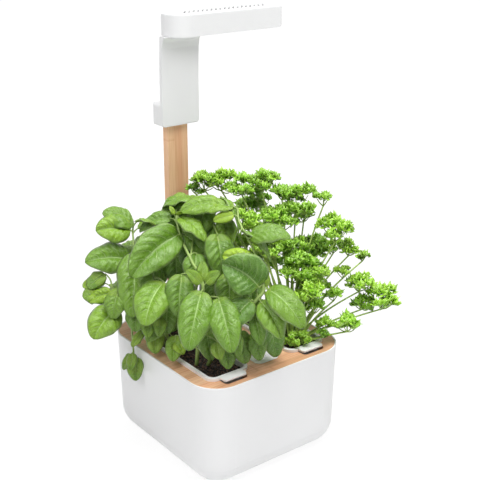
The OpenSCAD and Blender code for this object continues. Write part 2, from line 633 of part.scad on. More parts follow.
// One leaf and its stalk: rows of points across it, at the left edge, above the midrib, at the
// right edge and below the midrib
module leaf(q) {
    az = q[3]; rise = q[4]; l = q[5]; bend = q[7]; roll = q[8];
    n = l < 36 ? 3 : l < 62 ? 4 : leaf_rows;
    rows = [for (i = [0:n])
        let (t = i / n, a = rise - bend * t, w = half_width(q[6], t),
             side = [sin(az), -cos(az), 0], up = [-sin(a) * cos(az), -sin(a) * sin(az), cos(a)],
             s = side * cos(roll) + up * sin(roll), u = up * cos(roll) - side * sin(roll),
             m = q[2] + midrib(az, rise, l, bend, t))
        for (k = [0:3])
            m + s * w * [-1, 0, 1, 0][k] + u * (q[9] * w * [1, 0, 1, 0][k] + leaf_t / 2 * [0, 1, 0, -1][k])];
    polyhedron(rows, concat(
        [[0, 1, 2, 3]], [[for (k = [3:-1:0]) 4 * n + k]],
        [for (i = [0:n - 1], k = [0:3], f = [0, 1])
            let (a = 4 * i + k, b = 4 * i + (k + 1) % 4)
            f == 0 ? [a, a + 4, b] : [b, a + 4, b + 4]]), convexity = 8);
    hull() {
        translate(on_stem(basil_stems[q[0]], q[1])) sphere(r = 1, $fn = 3);
        translate(q[2] + midrib(az, rise, l, bend, 0.06)) sphere(r = 0.8, $fn = 3);
    }
}

module stem(p, r0, r1) {
    for (i = [0:len(p) - 2]) hull() {
        translate(p[i]) sphere(r = r0 + (r1 - r0) * i / (len(p) - 1), $fn = 5);
        translate(p[i + 1]) sphere(r = r0 + (r1 - r0) * (i + 1) / (len(p) - 1), $fn = 5);
    }
}

module basil() {
    color("forestgreen")
        translate([grown[0] - tray_pitch / 2, tray_y - grown[1], soil_z - grown[2]]) {
            for (p = basil_stems) stem(p, stem_r, 1);
            for (q = basil_leaves) leaf(q);
        }
}

// A crown of curled leaflets: a crinkled umbrella with a saw-toothed rim
module crown(c, r, turn) {
    t = 0.2 * r;
    inner = [for (i = [0:4])
        [0.5 * r * cos(72 * i + turn), 0.5 * r * sin(72 * i + turn), r * (i % 2 == 0 ? 0.4 : 0.1)]];
    outer = [for (i = [0:9])
        let (d = r * (i % 2 == 0 ? 0.78 : 1.08))
        [d * cos(36 * i + turn), d * sin(36 * i + turn), r * (i % 2 == 0 ? -0.15 : 0.12)]];
    top = concat([[0, 0, 0.3 * r]], inner, outer);
    n = len(top);
    upper = concat(
        [for (i = [0:4]) [0, 1 + i, 1 + (i + 1) % 5]],
        [for (i = [0:4]) [1 + i, 6 + 2 * i, 7 + 2 * i]],
        [for (i = [0:4]) [1 + i, 7 + 2 * i, 1 + (i + 1) % 5]],
        [for (i = [0:4]) [1 + (i + 1) % 5, 7 + 2 * i, 6 + (2 * i + 2) % 10]]);
    polyhedron(
        concat([for (p = top) c + p], [for (p = top) c + p - [0, 0, t]]),
        concat([for (f = upper) [f[0], f[2], f[1]]], [for (f = upper) [for (k = f) k + n]],
               [for (i = [0:9], h = [0, 1])
                   let (a = 6 + i, b = 6 + (i + 1) % 10)
                   h == 0 ? [a, b, a + n] : [b, b + n, a + n]]), convexity = 6);
}

// A thin stalk that leaves the soil steeply and bows outwards
module stalk(foot, top) {
    way = [for (i = [0:2]) let (t = i / 2)
        [foot[0] + (top[0] - foot[0]) * pow(t, 1.5),
         foot[1] + (top[1] - foot[1]) * pow(t, 1.5),
         grown[2] + (top[2] - grown[2]) * pow(t, 0.85)]];
    for (i = [0:1]) hull() {
        translate(way[i]) cylinder(r = stalk_r, h = 1.5, $fn = 4);
        translate(way[i + 1]) cylinder(r = stalk_r, h = 1.5, $fn = 4);
    }
}

module parsley() {
    color("limegreen")
        translate([tray_pitch / 2 - grown[0], tray_y - grown[1], soil_z - grown[2]])
            for (i = [0:len(parsley_stalks) - 1]) {
                q = parsley_stalks[i];
                stalk(q[0], q[1]);
                crown(q[1] - [0, 0, 0.2 * q[2]], q[2], 25 * i);
            }
}

// ---------------------------------------------------------------- lamp arm

arm_z0 = lamp_z - arm_h;
arm_top = lamp_z - 0.4;
arm_face = mast_front - arm_reach;    // front face of the plate
arm_lean = 3;                         // how far the plate curves forward at its top
arm_bend = 70;                        // height over which it does so
collar_back = mast_front + mast_t + 6;
collar_split = mast_front + mast_t / 2;
pivot_y = arm_face - 5;
flange_r = 20;
arm_flange_t = 3;
post_r = 9;
post_bore = 5;
fillet_r = 12;
arm_corner = 6;

// Height of the plate's front face over the lower edge turns into its place in Y
function arm_front(z) = arm_face - arm_lean * pow(max(0, (z - (arm_top - arm_bend)) / arm_bend), 2);

arm_steps = [for (i = [0:8]) arm_top - arm_bend + arm_bend * i / 8];

// Side view of the plate: straight below, curving forward above, a fillet under the flange
module arm_profile() {
    polygon(concat(
        [[arm_face, arm_z0 + 1.5], [arm_face + 1.5, arm_z0], [arm_face + arm_t, arm_z0]],
        [for (z = arm_steps) [arm_front(z) + arm_t, z]],
        [for (i = [0:6]) [arm_front(arm_top) - fillet_r * (1 - sin(90 * i / 6)),
                          arm_top - fillet_r * (1 - cos(90 * i / 6))]],
        [for (i = [7:-1:0]) if (arm_steps[i] < arm_top - fillet_r - 1)
            [arm_front(arm_steps[i]), arm_steps[i]]]));
}

module arm_outline() {
    translate([0, arm_z0 + (arm_h + 20) / 2]) round_rect(arm_w, arm_h + 20, arm_corner);
}

// Outline of the collar from above, with round back corners
module collar_outline() {
    r = 5;
    translate([-arm_w / 2, arm_face + 0.5]) square([arm_w, collar_back - arm_face - 0.5 - r]);
    translate([-arm_w / 2 + r, arm_face + 0.5]) square([arm_w - 2 * r, collar_back - arm_face - 0.5]);
    for (s = [-1, 1]) translate([s * (arm_w / 2 - r), collar_back - r]) circle(r);
}

module collar_block() {
    intersection() {
        translate([0, 0, arm_z0]) linear_extrude(height = collar_h) collar_outline();
        translate([0, collar_back + arm_w, arm_z0 + collar_h / 2]) rotate([90, 0, 0])
            round_plate(arm_w, collar_h, 4, 2 * arm_w);
    }
}

module mast_hole(gap) {
    translate([-mast_w / 2 - gap, mast_front - gap, arm_z0 - 20])
        cube([mast_w + 2 * gap, mast_t + 2 * gap, arm_h]);
}

collar_screw_x = arm_w / 2 - 7;
collar_screw_r = 1.6;

module lamp_arm() {
    color("whitesmoke") difference() {
        union() {
            intersection() {
                translate([-arm_w / 2, 0, 0]) rotate([90, 0, 90])
                    linear_extrude(height = arm_w) arm_profile();
                translate([0, arm_face + arm_w, 0]) rotate([90, 0, 0])
                    linear_extrude(height = 2 * arm_w) arm_outline();
            }
            intersection() {
                collar_block();
                translate([-arm_w, 0, 0]) cube([2 * arm_w, collar_split, 2 * lamp_z]);
            }
            translate([0, pivot_y, arm_top - arm_flange_t]) cylinder(r = flange_r, h = arm_flange_t);
        }
        mast_hole(pad_t + mast_gap);
        translate([0, pivot_y, arm_top - arm_flange_t - 0.05])
            cylinder(r = post_r + 0.02, h = arm_flange_t + 1);
        for (s = [-1, 1]) translate([s * collar_screw_x, collar_split - 8, arm_z0 + collar_h / 2])
            rotate([-90, 0, 0]) cylinder(r = collar_screw_r, h = 20);
    }
}

module collar_cover() {
    color("whitesmoke") difference() {
        intersection() {
            collar_block();
            translate([-arm_w, collar_split + 0.1, 0]) cube([2 * arm_w, 100, 2 * lamp_z]);
        }
        mast_hole(pad_t + mast_gap);
        for (s = [-1, 1]) translate([s * collar_screw_x, collar_split - 8, arm_z0 + collar_h / 2])
            rotate([-90, 0, 0]) {
                cylinder(r = collar_screw_r + 0.2, h = 40);
                translate([0, 0, 8 + collar_back - collar_split - 2.4]) cylinder(r = 3.2, h = 10);
            }
    }
}

module collar_screws() {
    color("silver") for (s = [-1, 1])
        translate([s * collar_screw_x, collar_back - 2.3, arm_z0 + collar_h / 2])
            rotate([-90, 0, 0]) screw(collar_screw_r - 0.05, 11, 3, 1.8);
}

pad_t = 1.2;
pad_w = 22;
pad_h = 26;

// Felt pads between the collar and the mast's wide faces, which hold the lamp by friction
module mast_pads() {
    color("dimgray") {
        translate([-pad_w / 2, mast_front - mast_gap - pad_t, arm_z0 + (collar_h - pad_h) / 2])
            cube([pad_w, pad_t, pad_h]);
        translate([-pad_w / 2, mast_front + mast_t + mast_gap, arm_z0 + (collar_h - pad_h) / 2])
            cube([pad_w, pad_t, pad_h]);
    }
}

post_top = lamp_z + 17;

// Hollow post that the head turns on; the lamp's wires pass through it
module swivel_post() {
    color("silver") difference() {
        translate([0, pivot_y, arm_top - arm_flange_t])
            cylinder(r = post_r, h = post_top - arm_top + arm_flange_t);
        translate([0, pivot_y, arm_top - 20]) cylinder(r = post_bore, h = 60);
        // flat that the wires leave by
        translate([post_r - 5, pivot_y - 2, post_top - 3]) cube([8, 4, 4]);
    }
}

module swivel_nut() {
    color("silver") difference() {
        translate([0, pivot_y, hub_top + 0.3]) cylinder(r = post_r + 4, h = 4, $fn = 6);
        translate([0, pivot_y, hub_top - 1]) cylinder(r = post_r + 0.02, h = 8);
    }
}

// ---------------------------------------------------------------- lamp head

head_r = head_w / 2;
head_x1 = head_l - head_r;            // far end of the head
head_top = lamp_z + head_h;
head_corner = 5;                      // plan radius of the corners at the far end
tray_t = 2.4;
hub_top = lamp_z + 11;
hub_r = post_r + 4;

// Plan of the head: half a circle over the arm, a straight bar, two small corners
module head_outline(grow = 0) {
    c = head_corner + grow;
    translate([0, pivot_y]) {
        circle(head_r + grow, $fn = 128);
        translate([0, -head_r - grow]) square([head_x1 - head_corner, 2 * (head_r + grow)]);
        translate([0, -head_r + head_corner]) square([head_x1 + grow, 2 * (head_r - head_corner)]);
        for (s = [-1, 1]) translate([head_x1 - head_corner, s * (head_r - head_corner)]) circle(c);
    }
}

// Side view of the head: a rounded lower corner at the far end
module head_side(grow = 0) {
    r = 8;
    x0 = -head_r - grow;
    x1 = head_x1 + grow;
    translate([x0, lamp_z - 10]) square([x1 - x0 - r, head_h + 20]);
    translate([x0, lamp_z + r]) square([x1 - x0, head_h + 10 - r]);
    translate([x1 - r, lamp_z + r]) circle(r);
}

module head_block(z0, z1, grow = 0) {
    intersection() {
        translate([0, 0, z0]) linear_extrude(height = z1 - z0) head_outline(grow);
        translate([0, pivot_y + head_w, 0]) rotate([90, 0, 0])
            linear_extrude(height = 2 * head_w) head_side(grow);
    }
}

vent_w = 3.2;
vent_l = 30;
vent_turn = 52;
vent_x0 = 6;
vent_pitch = (head_x1 - 16 - vent_x0) / (vent_count - 1);

// Edge of the head's top: a small round-over worked out as steps
module head_shell() {
    color("white") difference() {
        union() {
            head_block(lamp_z, head_top - 1.2);
            head_block(head_top - 1.2 - eps, head_top - 0.4, -0.35);
            head_block(head_top - 0.4 - eps, head_top, -1.2);
        }
        head_block(lamp_z - 5, head_top - head_wall, -head_wall);
        // ventilation slots
        for (i = [0:vent_count - 1])
            translate([vent_x0 + i * vent_pitch, pivot_y, head_top - head_wall - 1])
                rotate(vent_turn - 90)
                    linear_extrude(height = head_wall + 2) {
                        square([vent_w, vent_l - vent_w], center = true);
                        for (s = [-1, 1]) translate([0, s * (vent_l - vent_w) / 2])
                            circle(vent_w / 2, $fn = 16);
                    }
    }
}

fit = 0.25;                           // gap round what sits inside the head
window_x0 = 22;
window_x1 = head_x1 - 22;
window_w = head_w - 16;

// Lower frame of the head: carries the hub, the board and the diffuser
module head_tray() {
    color("white") difference() {
        union() {
            head_block(lamp_z, lamp_z + tray_t, -head_wall - fit);
            translate([0, pivot_y, lamp_z]) cylinder(r = hub_r, h = hub_top - lamp_z);
            intersection() {
                for (p = head_screw_places) translate([p[0], pivot_y + p[1], lamp_z])
                    cylinder(r = boss_r, h = head_h);
                head_block(lamp_z, head_top - head_wall - 0.3, -head_wall - fit);
            }
        }
        translate([0, pivot_y, lamp_z - 1]) cylinder(r = post_r + 0.06, h = 40);
        translate([(window_x0 + window_x1) / 2, pivot_y, lamp_z - 1])
            round_plate(window_x1 - window_x0, window_w, 4, tray_t + 2);
        for (p = head_screw_places) translate([p[0], pivot_y + p[1], lamp_z - 1]) {
            cylinder(r = head_screw_r + 0.1, h = head_screw_l + 6);
            cylinder(r = 2 * head_screw_r + 0.2, h = 2.4);
        }
    }
}

boss_r = 4;
head_screw_r = 1.5;
head_screw_l = 16;
head_screw_places = [[-18, 0], [14, 20], [14, -20], [head_x1 - 13, 17], [head_x1 - 13, -17]];

module head_screws() {
    color("silver") for (p = head_screw_places)
        translate([p[0], pivot_y + p[1], lamp_z + 1.3]) rotate([180, 0, 0])
            screw(head_screw_r, head_screw_l, 2 * head_screw_r, 1.2);
}

board_rise = 3;                       // from the lower shell's top to the led board
board_z = lamp_z + tray_t + board_rise;

module led_board() {
    color("white") translate([(window_x0 + window_x1) / 2, pivot_y, board_z])
        round_plate(window_x1 - window_x0 - 1, window_w + 4, 2, 1.6);
}

led_size = 2.8;
led_t = 0.8;
led_margin = 9;                       // from the window's edge to the first diode

module leds() {
    color("gold") for (i = [0:led_cols - 1], j = [0:led_rows - 1])
        translate([window_x0 + led_margin - led_size / 2
                       + i * (window_x1 - window_x0 - 2 * led_margin) / (led_cols - 1),
                   pivot_y - window_w / 2 + led_margin - led_size / 2
                       + j * (window_w - 2 * led_margin) / (led_rows - 1),
                   board_z - led_t])
            cube([led_size, led_size, led_t]);
}

fin_pitch = (window_w - 2.4) / 8;
fin_t = 1.4;
fin_h = 12;

module heat_sink() {
    color("silver") translate([(window_x0 + window_x1) / 2, pivot_y, board_z + 1.6]) {
        round_plate(window_x1 - window_x0 - 1, window_w + 4, 2, 2);
        for (i = [-4:4]) translate([-(window_x1 - window_x0 - 8) / 2, i * fin_pitch - fin_t / 2, 2 - eps])
            cube([window_x1 - window_x0 - 8, fin_t, fin_h]);
    }
}

module diffuser() {
    color("aliceblue") {
        translate([(window_x0 + window_x1) / 2, pivot_y, lamp_z])
            round_plate(window_x1 - window_x0 - 0.5, window_w - 0.5, 3.8, tray_t);
        translate([(window_x0 + window_x1) / 2, pivot_y, lamp_z + tray_t])
            round_plate(window_x1 - window_x0 + 5, window_w + 5, 4, 1.4);
    }
}

casing();
water_tank();
feet();
mast_socket();
mast();
mast_screws();
control_board();
dc_inlet();
power_button();
float_guide();
level_float();
lid();
fill_hatch();
left_tray();
left_soil();
left_wicks();
basil();
right_tray();
right_soil();
right_wicks();
parsley();
lamp_arm();
collar_cover();
collar_screws();
mast_pads();
swivel_post();
swivel_nut();
head_shell();
head_tray();
heat_sink();
led_board();
leds();
diffuser();
head_screws();
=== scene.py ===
import math

import bpy
import numpy as np
from mathutils import Matrix, Vector


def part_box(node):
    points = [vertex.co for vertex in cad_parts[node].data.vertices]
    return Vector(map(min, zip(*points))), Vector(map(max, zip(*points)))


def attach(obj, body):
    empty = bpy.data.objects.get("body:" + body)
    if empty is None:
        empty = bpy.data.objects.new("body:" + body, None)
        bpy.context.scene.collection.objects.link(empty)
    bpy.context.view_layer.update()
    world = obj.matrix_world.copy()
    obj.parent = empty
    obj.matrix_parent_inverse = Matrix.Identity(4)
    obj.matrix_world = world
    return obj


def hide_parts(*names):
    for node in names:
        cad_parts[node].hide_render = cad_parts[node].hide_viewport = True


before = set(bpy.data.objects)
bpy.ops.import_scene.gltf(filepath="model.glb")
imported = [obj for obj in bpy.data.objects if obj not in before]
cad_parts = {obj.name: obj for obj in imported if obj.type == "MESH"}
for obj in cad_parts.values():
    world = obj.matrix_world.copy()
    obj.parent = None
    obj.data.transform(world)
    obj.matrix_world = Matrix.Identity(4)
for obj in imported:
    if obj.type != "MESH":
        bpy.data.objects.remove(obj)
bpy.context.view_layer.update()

# ------------------------------------------------------------------ camera and studio
# The camera stands in front and to the left, and looks down a little.
# The studio is a pale floor that runs out to white, under three large soft lamps and a faint
# even sky.
CAMERA_PLACE = (-0.750317, -1.011988, 0.78263)
LAMP_TARGET = Vector((0, 0, 0.3))
FLOOR_HALF, FLOOR_Z = 9.0, -0.0004

camera_data = bpy.data.cameras.new("camera")
camera_data.sensor_width = 36.0
camera_data.lens = 72.2315
camera_data.clip_start = 0.05
camera_data.clip_end = 60.0
camera = bpy.data.objects.new("camera", camera_data)
bpy.context.scene.collection.objects.link(camera)
ahead = Vector((0.5698, 0.7421, -0.3528)).normalized()
aside = Vector((0.7931, -0.6091, 0.0)).normalized()
above = aside.cross(ahead)
camera_turn = Matrix((aside, above, -ahead)).transposed().to_4x4()
camera.matrix_world = Matrix.Translation(CAMERA_PLACE) @ camera_turn
bpy.context.scene.camera = camera
bpy.context.scene.view_settings.view_transform = "Standard"


def fill(node, **values):
    """Set a node's values, each by the name of a property or an input; i0, i1 and so on are the
    inputs by number. A socket is joined to its input, and a node stands for its first output."""
    for key, value in values.items():
        if hasattr(node, key) and key not in node.inputs:
            setattr(node, key, value)
            continue
        numbered = key[0] == "i" and key[1:].isdigit()
        socket = node.inputs[int(key[1:]) if numbered else key.replace("_", " ")]
        if isinstance(value, bpy.types.Node):
            value = value.outputs[0]
        if isinstance(value, bpy.types.NodeSocket):
            node.id_data.links.new(value, socket)
        else:
            socket.default_value = (*value, 1) if socket.type == "RGBA" else value
    return node


def adder(tree):
    """A function that adds a shader node of a kind to this tree and fills it."""
    return lambda kind, **values: fill(tree.nodes.new("ShaderNode" + kind), **values)


def empty_tree(owner):
    """Empty the node tree of a material or world, and return the function that adds to it."""
    owner.use_nodes = True
    owner.node_tree.nodes.clear()
    return adder(owner.node_tree)


def reckon(add, operation, *values, **more):
    """One step of arithmetic with numbers, nodes or sockets."""
    return add("Math", operation=operation, **{f"i{n}": v for n, v in enumerate(values)}, **more)


def ramp(add, value, low, high, at_low=0.0, at_high=1.0):
    """A value that goes straight from at_low to at_high while another goes from low to high,
    and stays level outside."""
    return add("MapRange", Value=value, i1=low, i2=high, i3=at_low, i4=at_high)


def shown_directly(add):
    """1 for what is seen by the camera, through glass or in a reflection, and 0 for the light
    that falls on the object."""
    rays = add("LightPath").outputs
    seen = reckon(add, "MAXIMUM", rays["Is Camera Ray"], rays["Is Transmission Ray"])
    return reckon(add, "MAXIMUM", seen, rays["Is Glossy Ray"])


world = bpy.data.worlds.new("studio sky")
bpy.context.scene.world = world
add = empty_tree(world)
sky = add("Background", Color=(1, 1, 1), Strength=0.12)
white = add("Background", Color=(1, 1, 1), Strength=1.0)
both = add("MixShader", i0=shown_directly(add), i1=sky, i2=white)
add("OutputWorld", Surface=both)


def lamp(name, place, size, power):
    """A square soft lamp at a place, turned to the middle of the garden."""
    data = bpy.data.lights.new(name, "AREA")
    data.size = size
    data.energy = power
    thing = bpy.data.objects.new(name, data)
    thing.location = place
    thing.rotation_euler = (LAMP_TARGET - Vector(place)).to_track_quat("-Z", "Y").to_euler()
    bpy.context.scene.collection.objects.link(thing)


lamp("right front softbox", (0.5, -1.5, 2.3), 1.2, 28)
lamp("left softbox", (-1.7, -0.6, 2.2), 1.2, 30)
lamp("overhead softbox", (0.15, -0.2, 4.8), 2.4, 185)

floor_mesh = bpy.data.meshes.new("floor")
floor_mesh.from_pydata([(x * FLOOR_HALF, y * FLOOR_HALF, FLOOR_Z)
                        for x, y in ((-1, -1), (1, -1), (1, 1), (-1, 1))], [], [(0, 1, 2, 3)])
floor = bpy.data.objects.new("floor", floor_mesh)
bpy.context.scene.collection.objects.link(floor)
# the floor lights the object as a pale matte board, and shows as white with a soft shadow
floor_paint = bpy.data.materials.new("floor paint")
add = empty_tree(floor_paint)
matte = add("BsdfDiffuse", Color=(0.8, 0.8, 0.8))
shade = add("BsdfDiffuse", Color=(0.12, 0.12, 0.12))
reach = add("VectorMath", operation="LENGTH", i0=add("TexCoord").outputs["Object"])
level = ramp(add, reach.outputs["Value"], 0.3, 1.5, 0.92, 1.0)
glow = add("Emission", Color=(1, 1, 1), Strength=level)
bright = add("AddShader", i0=shade, i1=glow)
both = add("MixShader", i0=shown_directly(add), i1=matte, i2=bright)
add("OutputMaterial", Surface=both)
floor.data.materials.append(floor_paint)

# ------------------------------------------------------------------ casing
# One white moulded shell with leaning walls and a large round lower edge.
# Satin ABS: a very fine moulded grain, and a faint change of gloss over its length.
NUMBER, VECTOR, COLOUR = "NodeSocketFloat", "NodeSocketVector", "NodeSocketColor"
SURFACE = [("Colour", COLOUR), ("Roughness", NUMBER), ("Height", NUMBER)]


def effect_group(name, inputs, outputs):
    """A new shader node group with named sockets. Returns it with the sockets that its inputs
    come from, its end node and the function that adds to it."""
    group = bpy.data.node_groups.new(name, "ShaderNodeTree")
    for label, kind, value in inputs:
        group.interface.new_socket(label, in_out="INPUT", socket_type=kind).default_value = value
    for label, kind in outputs:
        group.interface.new_socket(label, in_out="OUTPUT", socket_type=kind)
    start = group.nodes.new("NodeGroupInput")
    return group, start.outputs, group.nodes.new("NodeGroupOutput"), adder(group)


def mixed(add, amount, first, second, way="MIX"):
    """The colour between two colours, the second one in full where the amount is 1."""
    return add("Mix", data_type="RGBA", blend_type=way, i0=amount, i6=first, i7=second).outputs[2]


moulded_skin, given, end, add = effect_group(
    "moulded skin",
    [("Vector", VECTOR, (0, 0, 0)), ("Grain size", NUMBER, 2500.0),
     ("Colour", COLOUR, (1, 1, 1, 1)), ("Gloss low", NUMBER, 0.3), ("Gloss high", NUMBER, 0.4)],
    SURFACE)
grain = add("TexNoise", Vector=given["Vector"], Scale=given["Grain size"], Detail=2.0)
flow = add("TexNoise", Vector=given["Vector"], Scale=14.0, Detail=3.0)
tint = mixed(add, 0.5, given["Colour"], ramp(add, flow, 0.3, 0.7, 0.97, 1.0), "MULTIPLY")
gloss = ramp(add, flow, 0.3, 0.7, given["Gloss low"], given["Gloss high"])
fill(end, Colour=tint, Roughness=gloss, Height=grain)


def new_material(name):
    """A material with an empty tree. Returns it with the function that adds to it and with the
    sockets that tell where each point is."""
    material = bpy.data.materials.new(name)
    add = empty_tree(material)
    return material, add, add("TexCoord").outputs


def close(add, colour, rough, height, relief, depth, **more):
    """The end of a material: bumps from a height, the Principled body and the output."""
    bump = add("Bump", Strength=relief, Distance=depth, Height=height)
    body = add("BsdfPrincipled", Base_Color=colour, Roughness=rough, Normal=bump, **more)
    add("OutputMaterial", Surface=body)


def moulded_plastic(name, colour, low=0.3, high=0.4, relief=0.02, size=2500.0):
    """A moulded plastic: the skin group gives colour, gloss and a fine bump."""
    material, add, where = new_material(name)
    skin = add("Group", node_tree=moulded_skin, Vector=where["Object"], Grain_size=size,
               Colour=colour, Gloss_low=low, Gloss_high=high)
    close(add, *skin.outputs, relief, 0.0002)
    return material


def dress(material, *names):
    """The named CAD pieces get this material on every slot."""
    for name in names:
        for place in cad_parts[name].material_slots:
            place.material = material


shell_white = moulded_plastic("shell white", (0.86, 0.862, 0.868))
dress(shell_white, "casing")

# ------------------------------------------------------------------ water tank, float and feet
# The tank, the mast's socket and the float's tube are grey moulded polypropylene.
# The float is bright so that its stem is seen from above; the feet are pressed-in rubber.
dress(moulded_plastic("tank grey", (0.6, 0.61, 0.62), 0.45, 0.6, 0.08, 900.0),
      "water_tank", "mast_socket", "float_guide")
dress(moulded_plastic("float red", (0.7, 0.1, 0.03), 0.35, 0.5), "level_float")
dress(moulded_plastic("foot rubber", (0.05, 0.05, 0.052), 0.7, 0.85, 0.3, 1500.0), "feet")

# ------------------------------------------------------------------ electronics in the rear bay
# Timer board, power inlet and push button, behind the tank.
# Green solder mask over glass fibre, black and white plastic.
dress(moulded_plastic("board green", (0.03, 0.2, 0.08), 0.25, 0.45, 0.2, 600.0), "control_board")
dress(moulded_plastic("inlet black", (0.02, 0.02, 0.022), 0.35, 0.5), "dc_inlet")
dress(moulded_plastic("button white", (0.8, 0.8, 0.8), 0.25, 0.35), "power_button")

# ------------------------------------------------------------------ bamboo mast and lid
# Both are glued from bamboo strips, planed and oiled: strips of slightly different tone,
# fine fibres along them, and now and then the darker ring of a node across a strip.
MAST_STRIP, LID_STRIP, NODE_GAP = 0.0115, 0.019, 0.23

bamboo_strips, given, end, add = effect_group(
    "bamboo strips", [("Vector", VECTOR, (0, 0, 0)), ("Strip width", NUMBER, 0.02),
                      ("Light", COLOUR, (1, 1, 1, 1)), ("Dark", COLOUR, (0, 0, 0, 1))], SURFACE)
parts = add("SeparateXYZ", i0=given["Vector"]).outputs
position = reckon(add, "DIVIDE", parts["X"], given["Strip width"])
chance = add("TexWhiteNoise", noise_dimensions="1D", W=reckon(add, "FLOOR", position))
# fibres: noise squeezed across and drawn out along the strip, shifted from strip to strip
along = reckon(add, "ADD", parts["Y"], reckon(add, "MULTIPLY", chance, 3.0))
fibre_place = add("CombineXYZ", X=parts["X"], Y=along, Z=parts["Z"])
squeezed = add("VectorMath", operation="MULTIPLY", i0=fibre_place, i1=(900.0, 14.0, 900.0))
fibre = add("TexNoise", Vector=squeezed, Scale=1.0, Detail=4.0)
broad = add("VectorMath", operation="MULTIPLY", i0=fibre_place, i1=(120.0, 3.0, 120.0))
cloud = add("TexNoise", Vector=broad, Scale=1.0, Detail=3.0)
streak = ramp(add, fibre, 0.48, 0.72)
# the rings of the nodes along a strip, and the seam between two strips
ring = ramp(add, reckon(add, "FRACT", reckon(add, "DIVIDE", along, NODE_GAP)), 0.0, 0.02, 1.0, 0.0)
edge = reckon(add, "PINGPONG", reckon(add, "FRACT", position), 0.5)
seam = ramp(add, edge, 0.0, 0.02, 1.0, 0.0)
tone = reckon(add, "MULTIPLY_ADD", chance, 0.55, -0.1)
tone = reckon(add, "MULTIPLY_ADD", cloud, 0.4, tone)
for layer, amount in ((streak, 0.6), (ring, 0.4), (seam, 0.6)):
    tone = reckon(add, "MULTIPLY_ADD", layer, amount, tone, use_clamp=True)
cane = mixed(add, tone, given["Light"], given["Dark"])
# redder patches where the cane was nearer its skin
patch = ramp(add, add("TexNoise", Vector=broad, Scale=0.6, Detail=1.0), 0.45, 0.65)
cane = mixed(add, patch, cane, (0.97, 0.86, 0.83), "MULTIPLY")
fill(end, Colour=cane, Roughness=ramp(add, fibre, 0.3, 0.7, 0.42, 0.6),
     Height=reckon(add, "MULTIPLY_ADD", seam, -1.0, fibre))


def bamboo(name, turn, width, light, dark, offset=0.0):
    """Bamboo whose strips lie side by side along the pattern's X and run along its Y."""
    material, add, where = new_material(name)
    turned = add("Mapping", Vector=where["Object"], Rotation=turn, Location=(offset, 0, 0))
    wood = add("Group", node_tree=bamboo_strips, Vector=turned, Strip_width=width, Light=light,
               Dark=dark)
    close(add, *wood.outputs, 0.25, 0.0002)
    return material


dress(bamboo("mast bamboo", (-math.pi / 2, 0, 0), MAST_STRIP, (1.0, 0.65, 0.4),
             (0.77, 0.41, 0.22), 0.0057), "mast")
dress(bamboo("lid bamboo", (0, 0, math.pi / 2), LID_STRIP, (0.9, 0.6, 0.37),
             (0.54, 0.29, 0.15)), "lid")

# ------------------------------------------------------------------ screws, post, nut, heat sink
# The screws, the post that the lamp head turns on and its nut are steel, turned and plated with
# zinc, which gives them a cloudy soft shine. The heat sink is pressed and anodised aluminium.


def plated_steel(name, colour, rough):
    """Metal with a cloudy gloss."""
    material, add, where = new_material(name)
    cloud = add("TexNoise", Vector=where["Object"], Scale=400.0, Detail=4.0)
    tint = add("VectorMath", operation="SCALE", i0=colour, Scale=ramp(add, cloud, 0.3, 0.7, 0.9))
    close(add, tint, ramp(add, cloud, 0.3, 0.7, rough, rough + 0.15), cloud, 0.1, 0.0001,
          Metallic=1.0)
    return material


dress(plated_steel("plated steel", (0.6, 0.6, 0.62), 0.28), "mast_screws", "collar_screws",
      "swivel_post", "swivel_nut", "head_screws")
dress(plated_steel("anodised aluminium", (0.75, 0.76, 0.78), 0.35), "heat_sink")

# ------------------------------------------------------------------ hatch, trays, wicks and pads
# The filling hatch and the two trays are glossier white mouldings that lie in the bamboo lid.
# Each tray is deep drawn in one piece with its rim and its grip tab. Its wicks, and the pads of
# the collar, are cut from pressed felt.
dress(moulded_plastic("tray white", (0.95, 0.95, 0.95), 0.35, 0.45, 0.01),
      "left_tray", "right_tray")
dress(moulded_plastic("hatch white", (0.95, 0.95, 0.95), 0.3, 0.4), "fill_hatch")


def felt(name, light, dark):
    """Pressed felt: short crossed fibres in two tones."""
    material, add, where = new_material(name)
    fibre = add("TexNoise", Vector=where["Object"], Scale=1400.0, Detail=5.0, Distortion=2.0)
    close(add, mixed(add, fibre, light, dark), 0.95, fibre, 0.6, 0.0004, Sheen_Weight=0.3)
    return material


dress(felt("wick felt", (0.62, 0.59, 0.52), (0.42, 0.39, 0.33)), "left_wicks", "right_wicks")
dress(felt("pad felt", (0.09, 0.09, 0.09), (0.03, 0.03, 0.03)), "mast_pads")

# ------------------------------------------------------------------ growing medium
# Dark peat and coir crumbs, moist and loose, a little below the trays' rims.
# The block under them is the CAD solid; the crumbs are single lumps that lie on it.
MM = 0.001
# the soil's middle and top in mm, to a thousandth
soil_low, soil_high = (np.array(corner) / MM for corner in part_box("right_soil"))
TRAY_X, TRAY_Y = ((soil_low + soil_high) / 2).round(3)[:2]
SOIL_Z = soil_high[2].round(3)
CRUMB_REACH_X, CRUMB_REACH_Y, CRUMB_LIFT = 27.5, 90.0, 0.35


def soil_material():
    """Near-black brown with lighter fibres and a rough crumbled surface."""
    material, add, where = new_material("moist soil")
    crumb = add("TexVoronoi", Vector=where["Object"], Scale=420.0)
    cloud = add("TexNoise", Vector=where["Object"], Scale=260.0, Detail=6.0)
    brown = mixed(add, ramp(add, cloud, 0.47, 0.66), (0.005, 0.0035, 0.003), (0.17, 0.09, 0.055))
    close(add, brown, 0.85, reckon(add, "ADD", crumb, cloud), 0.9, 0.0015)
    return material


moist_soil = soil_material()
dress(moist_soil, "left_soil", "right_soil")


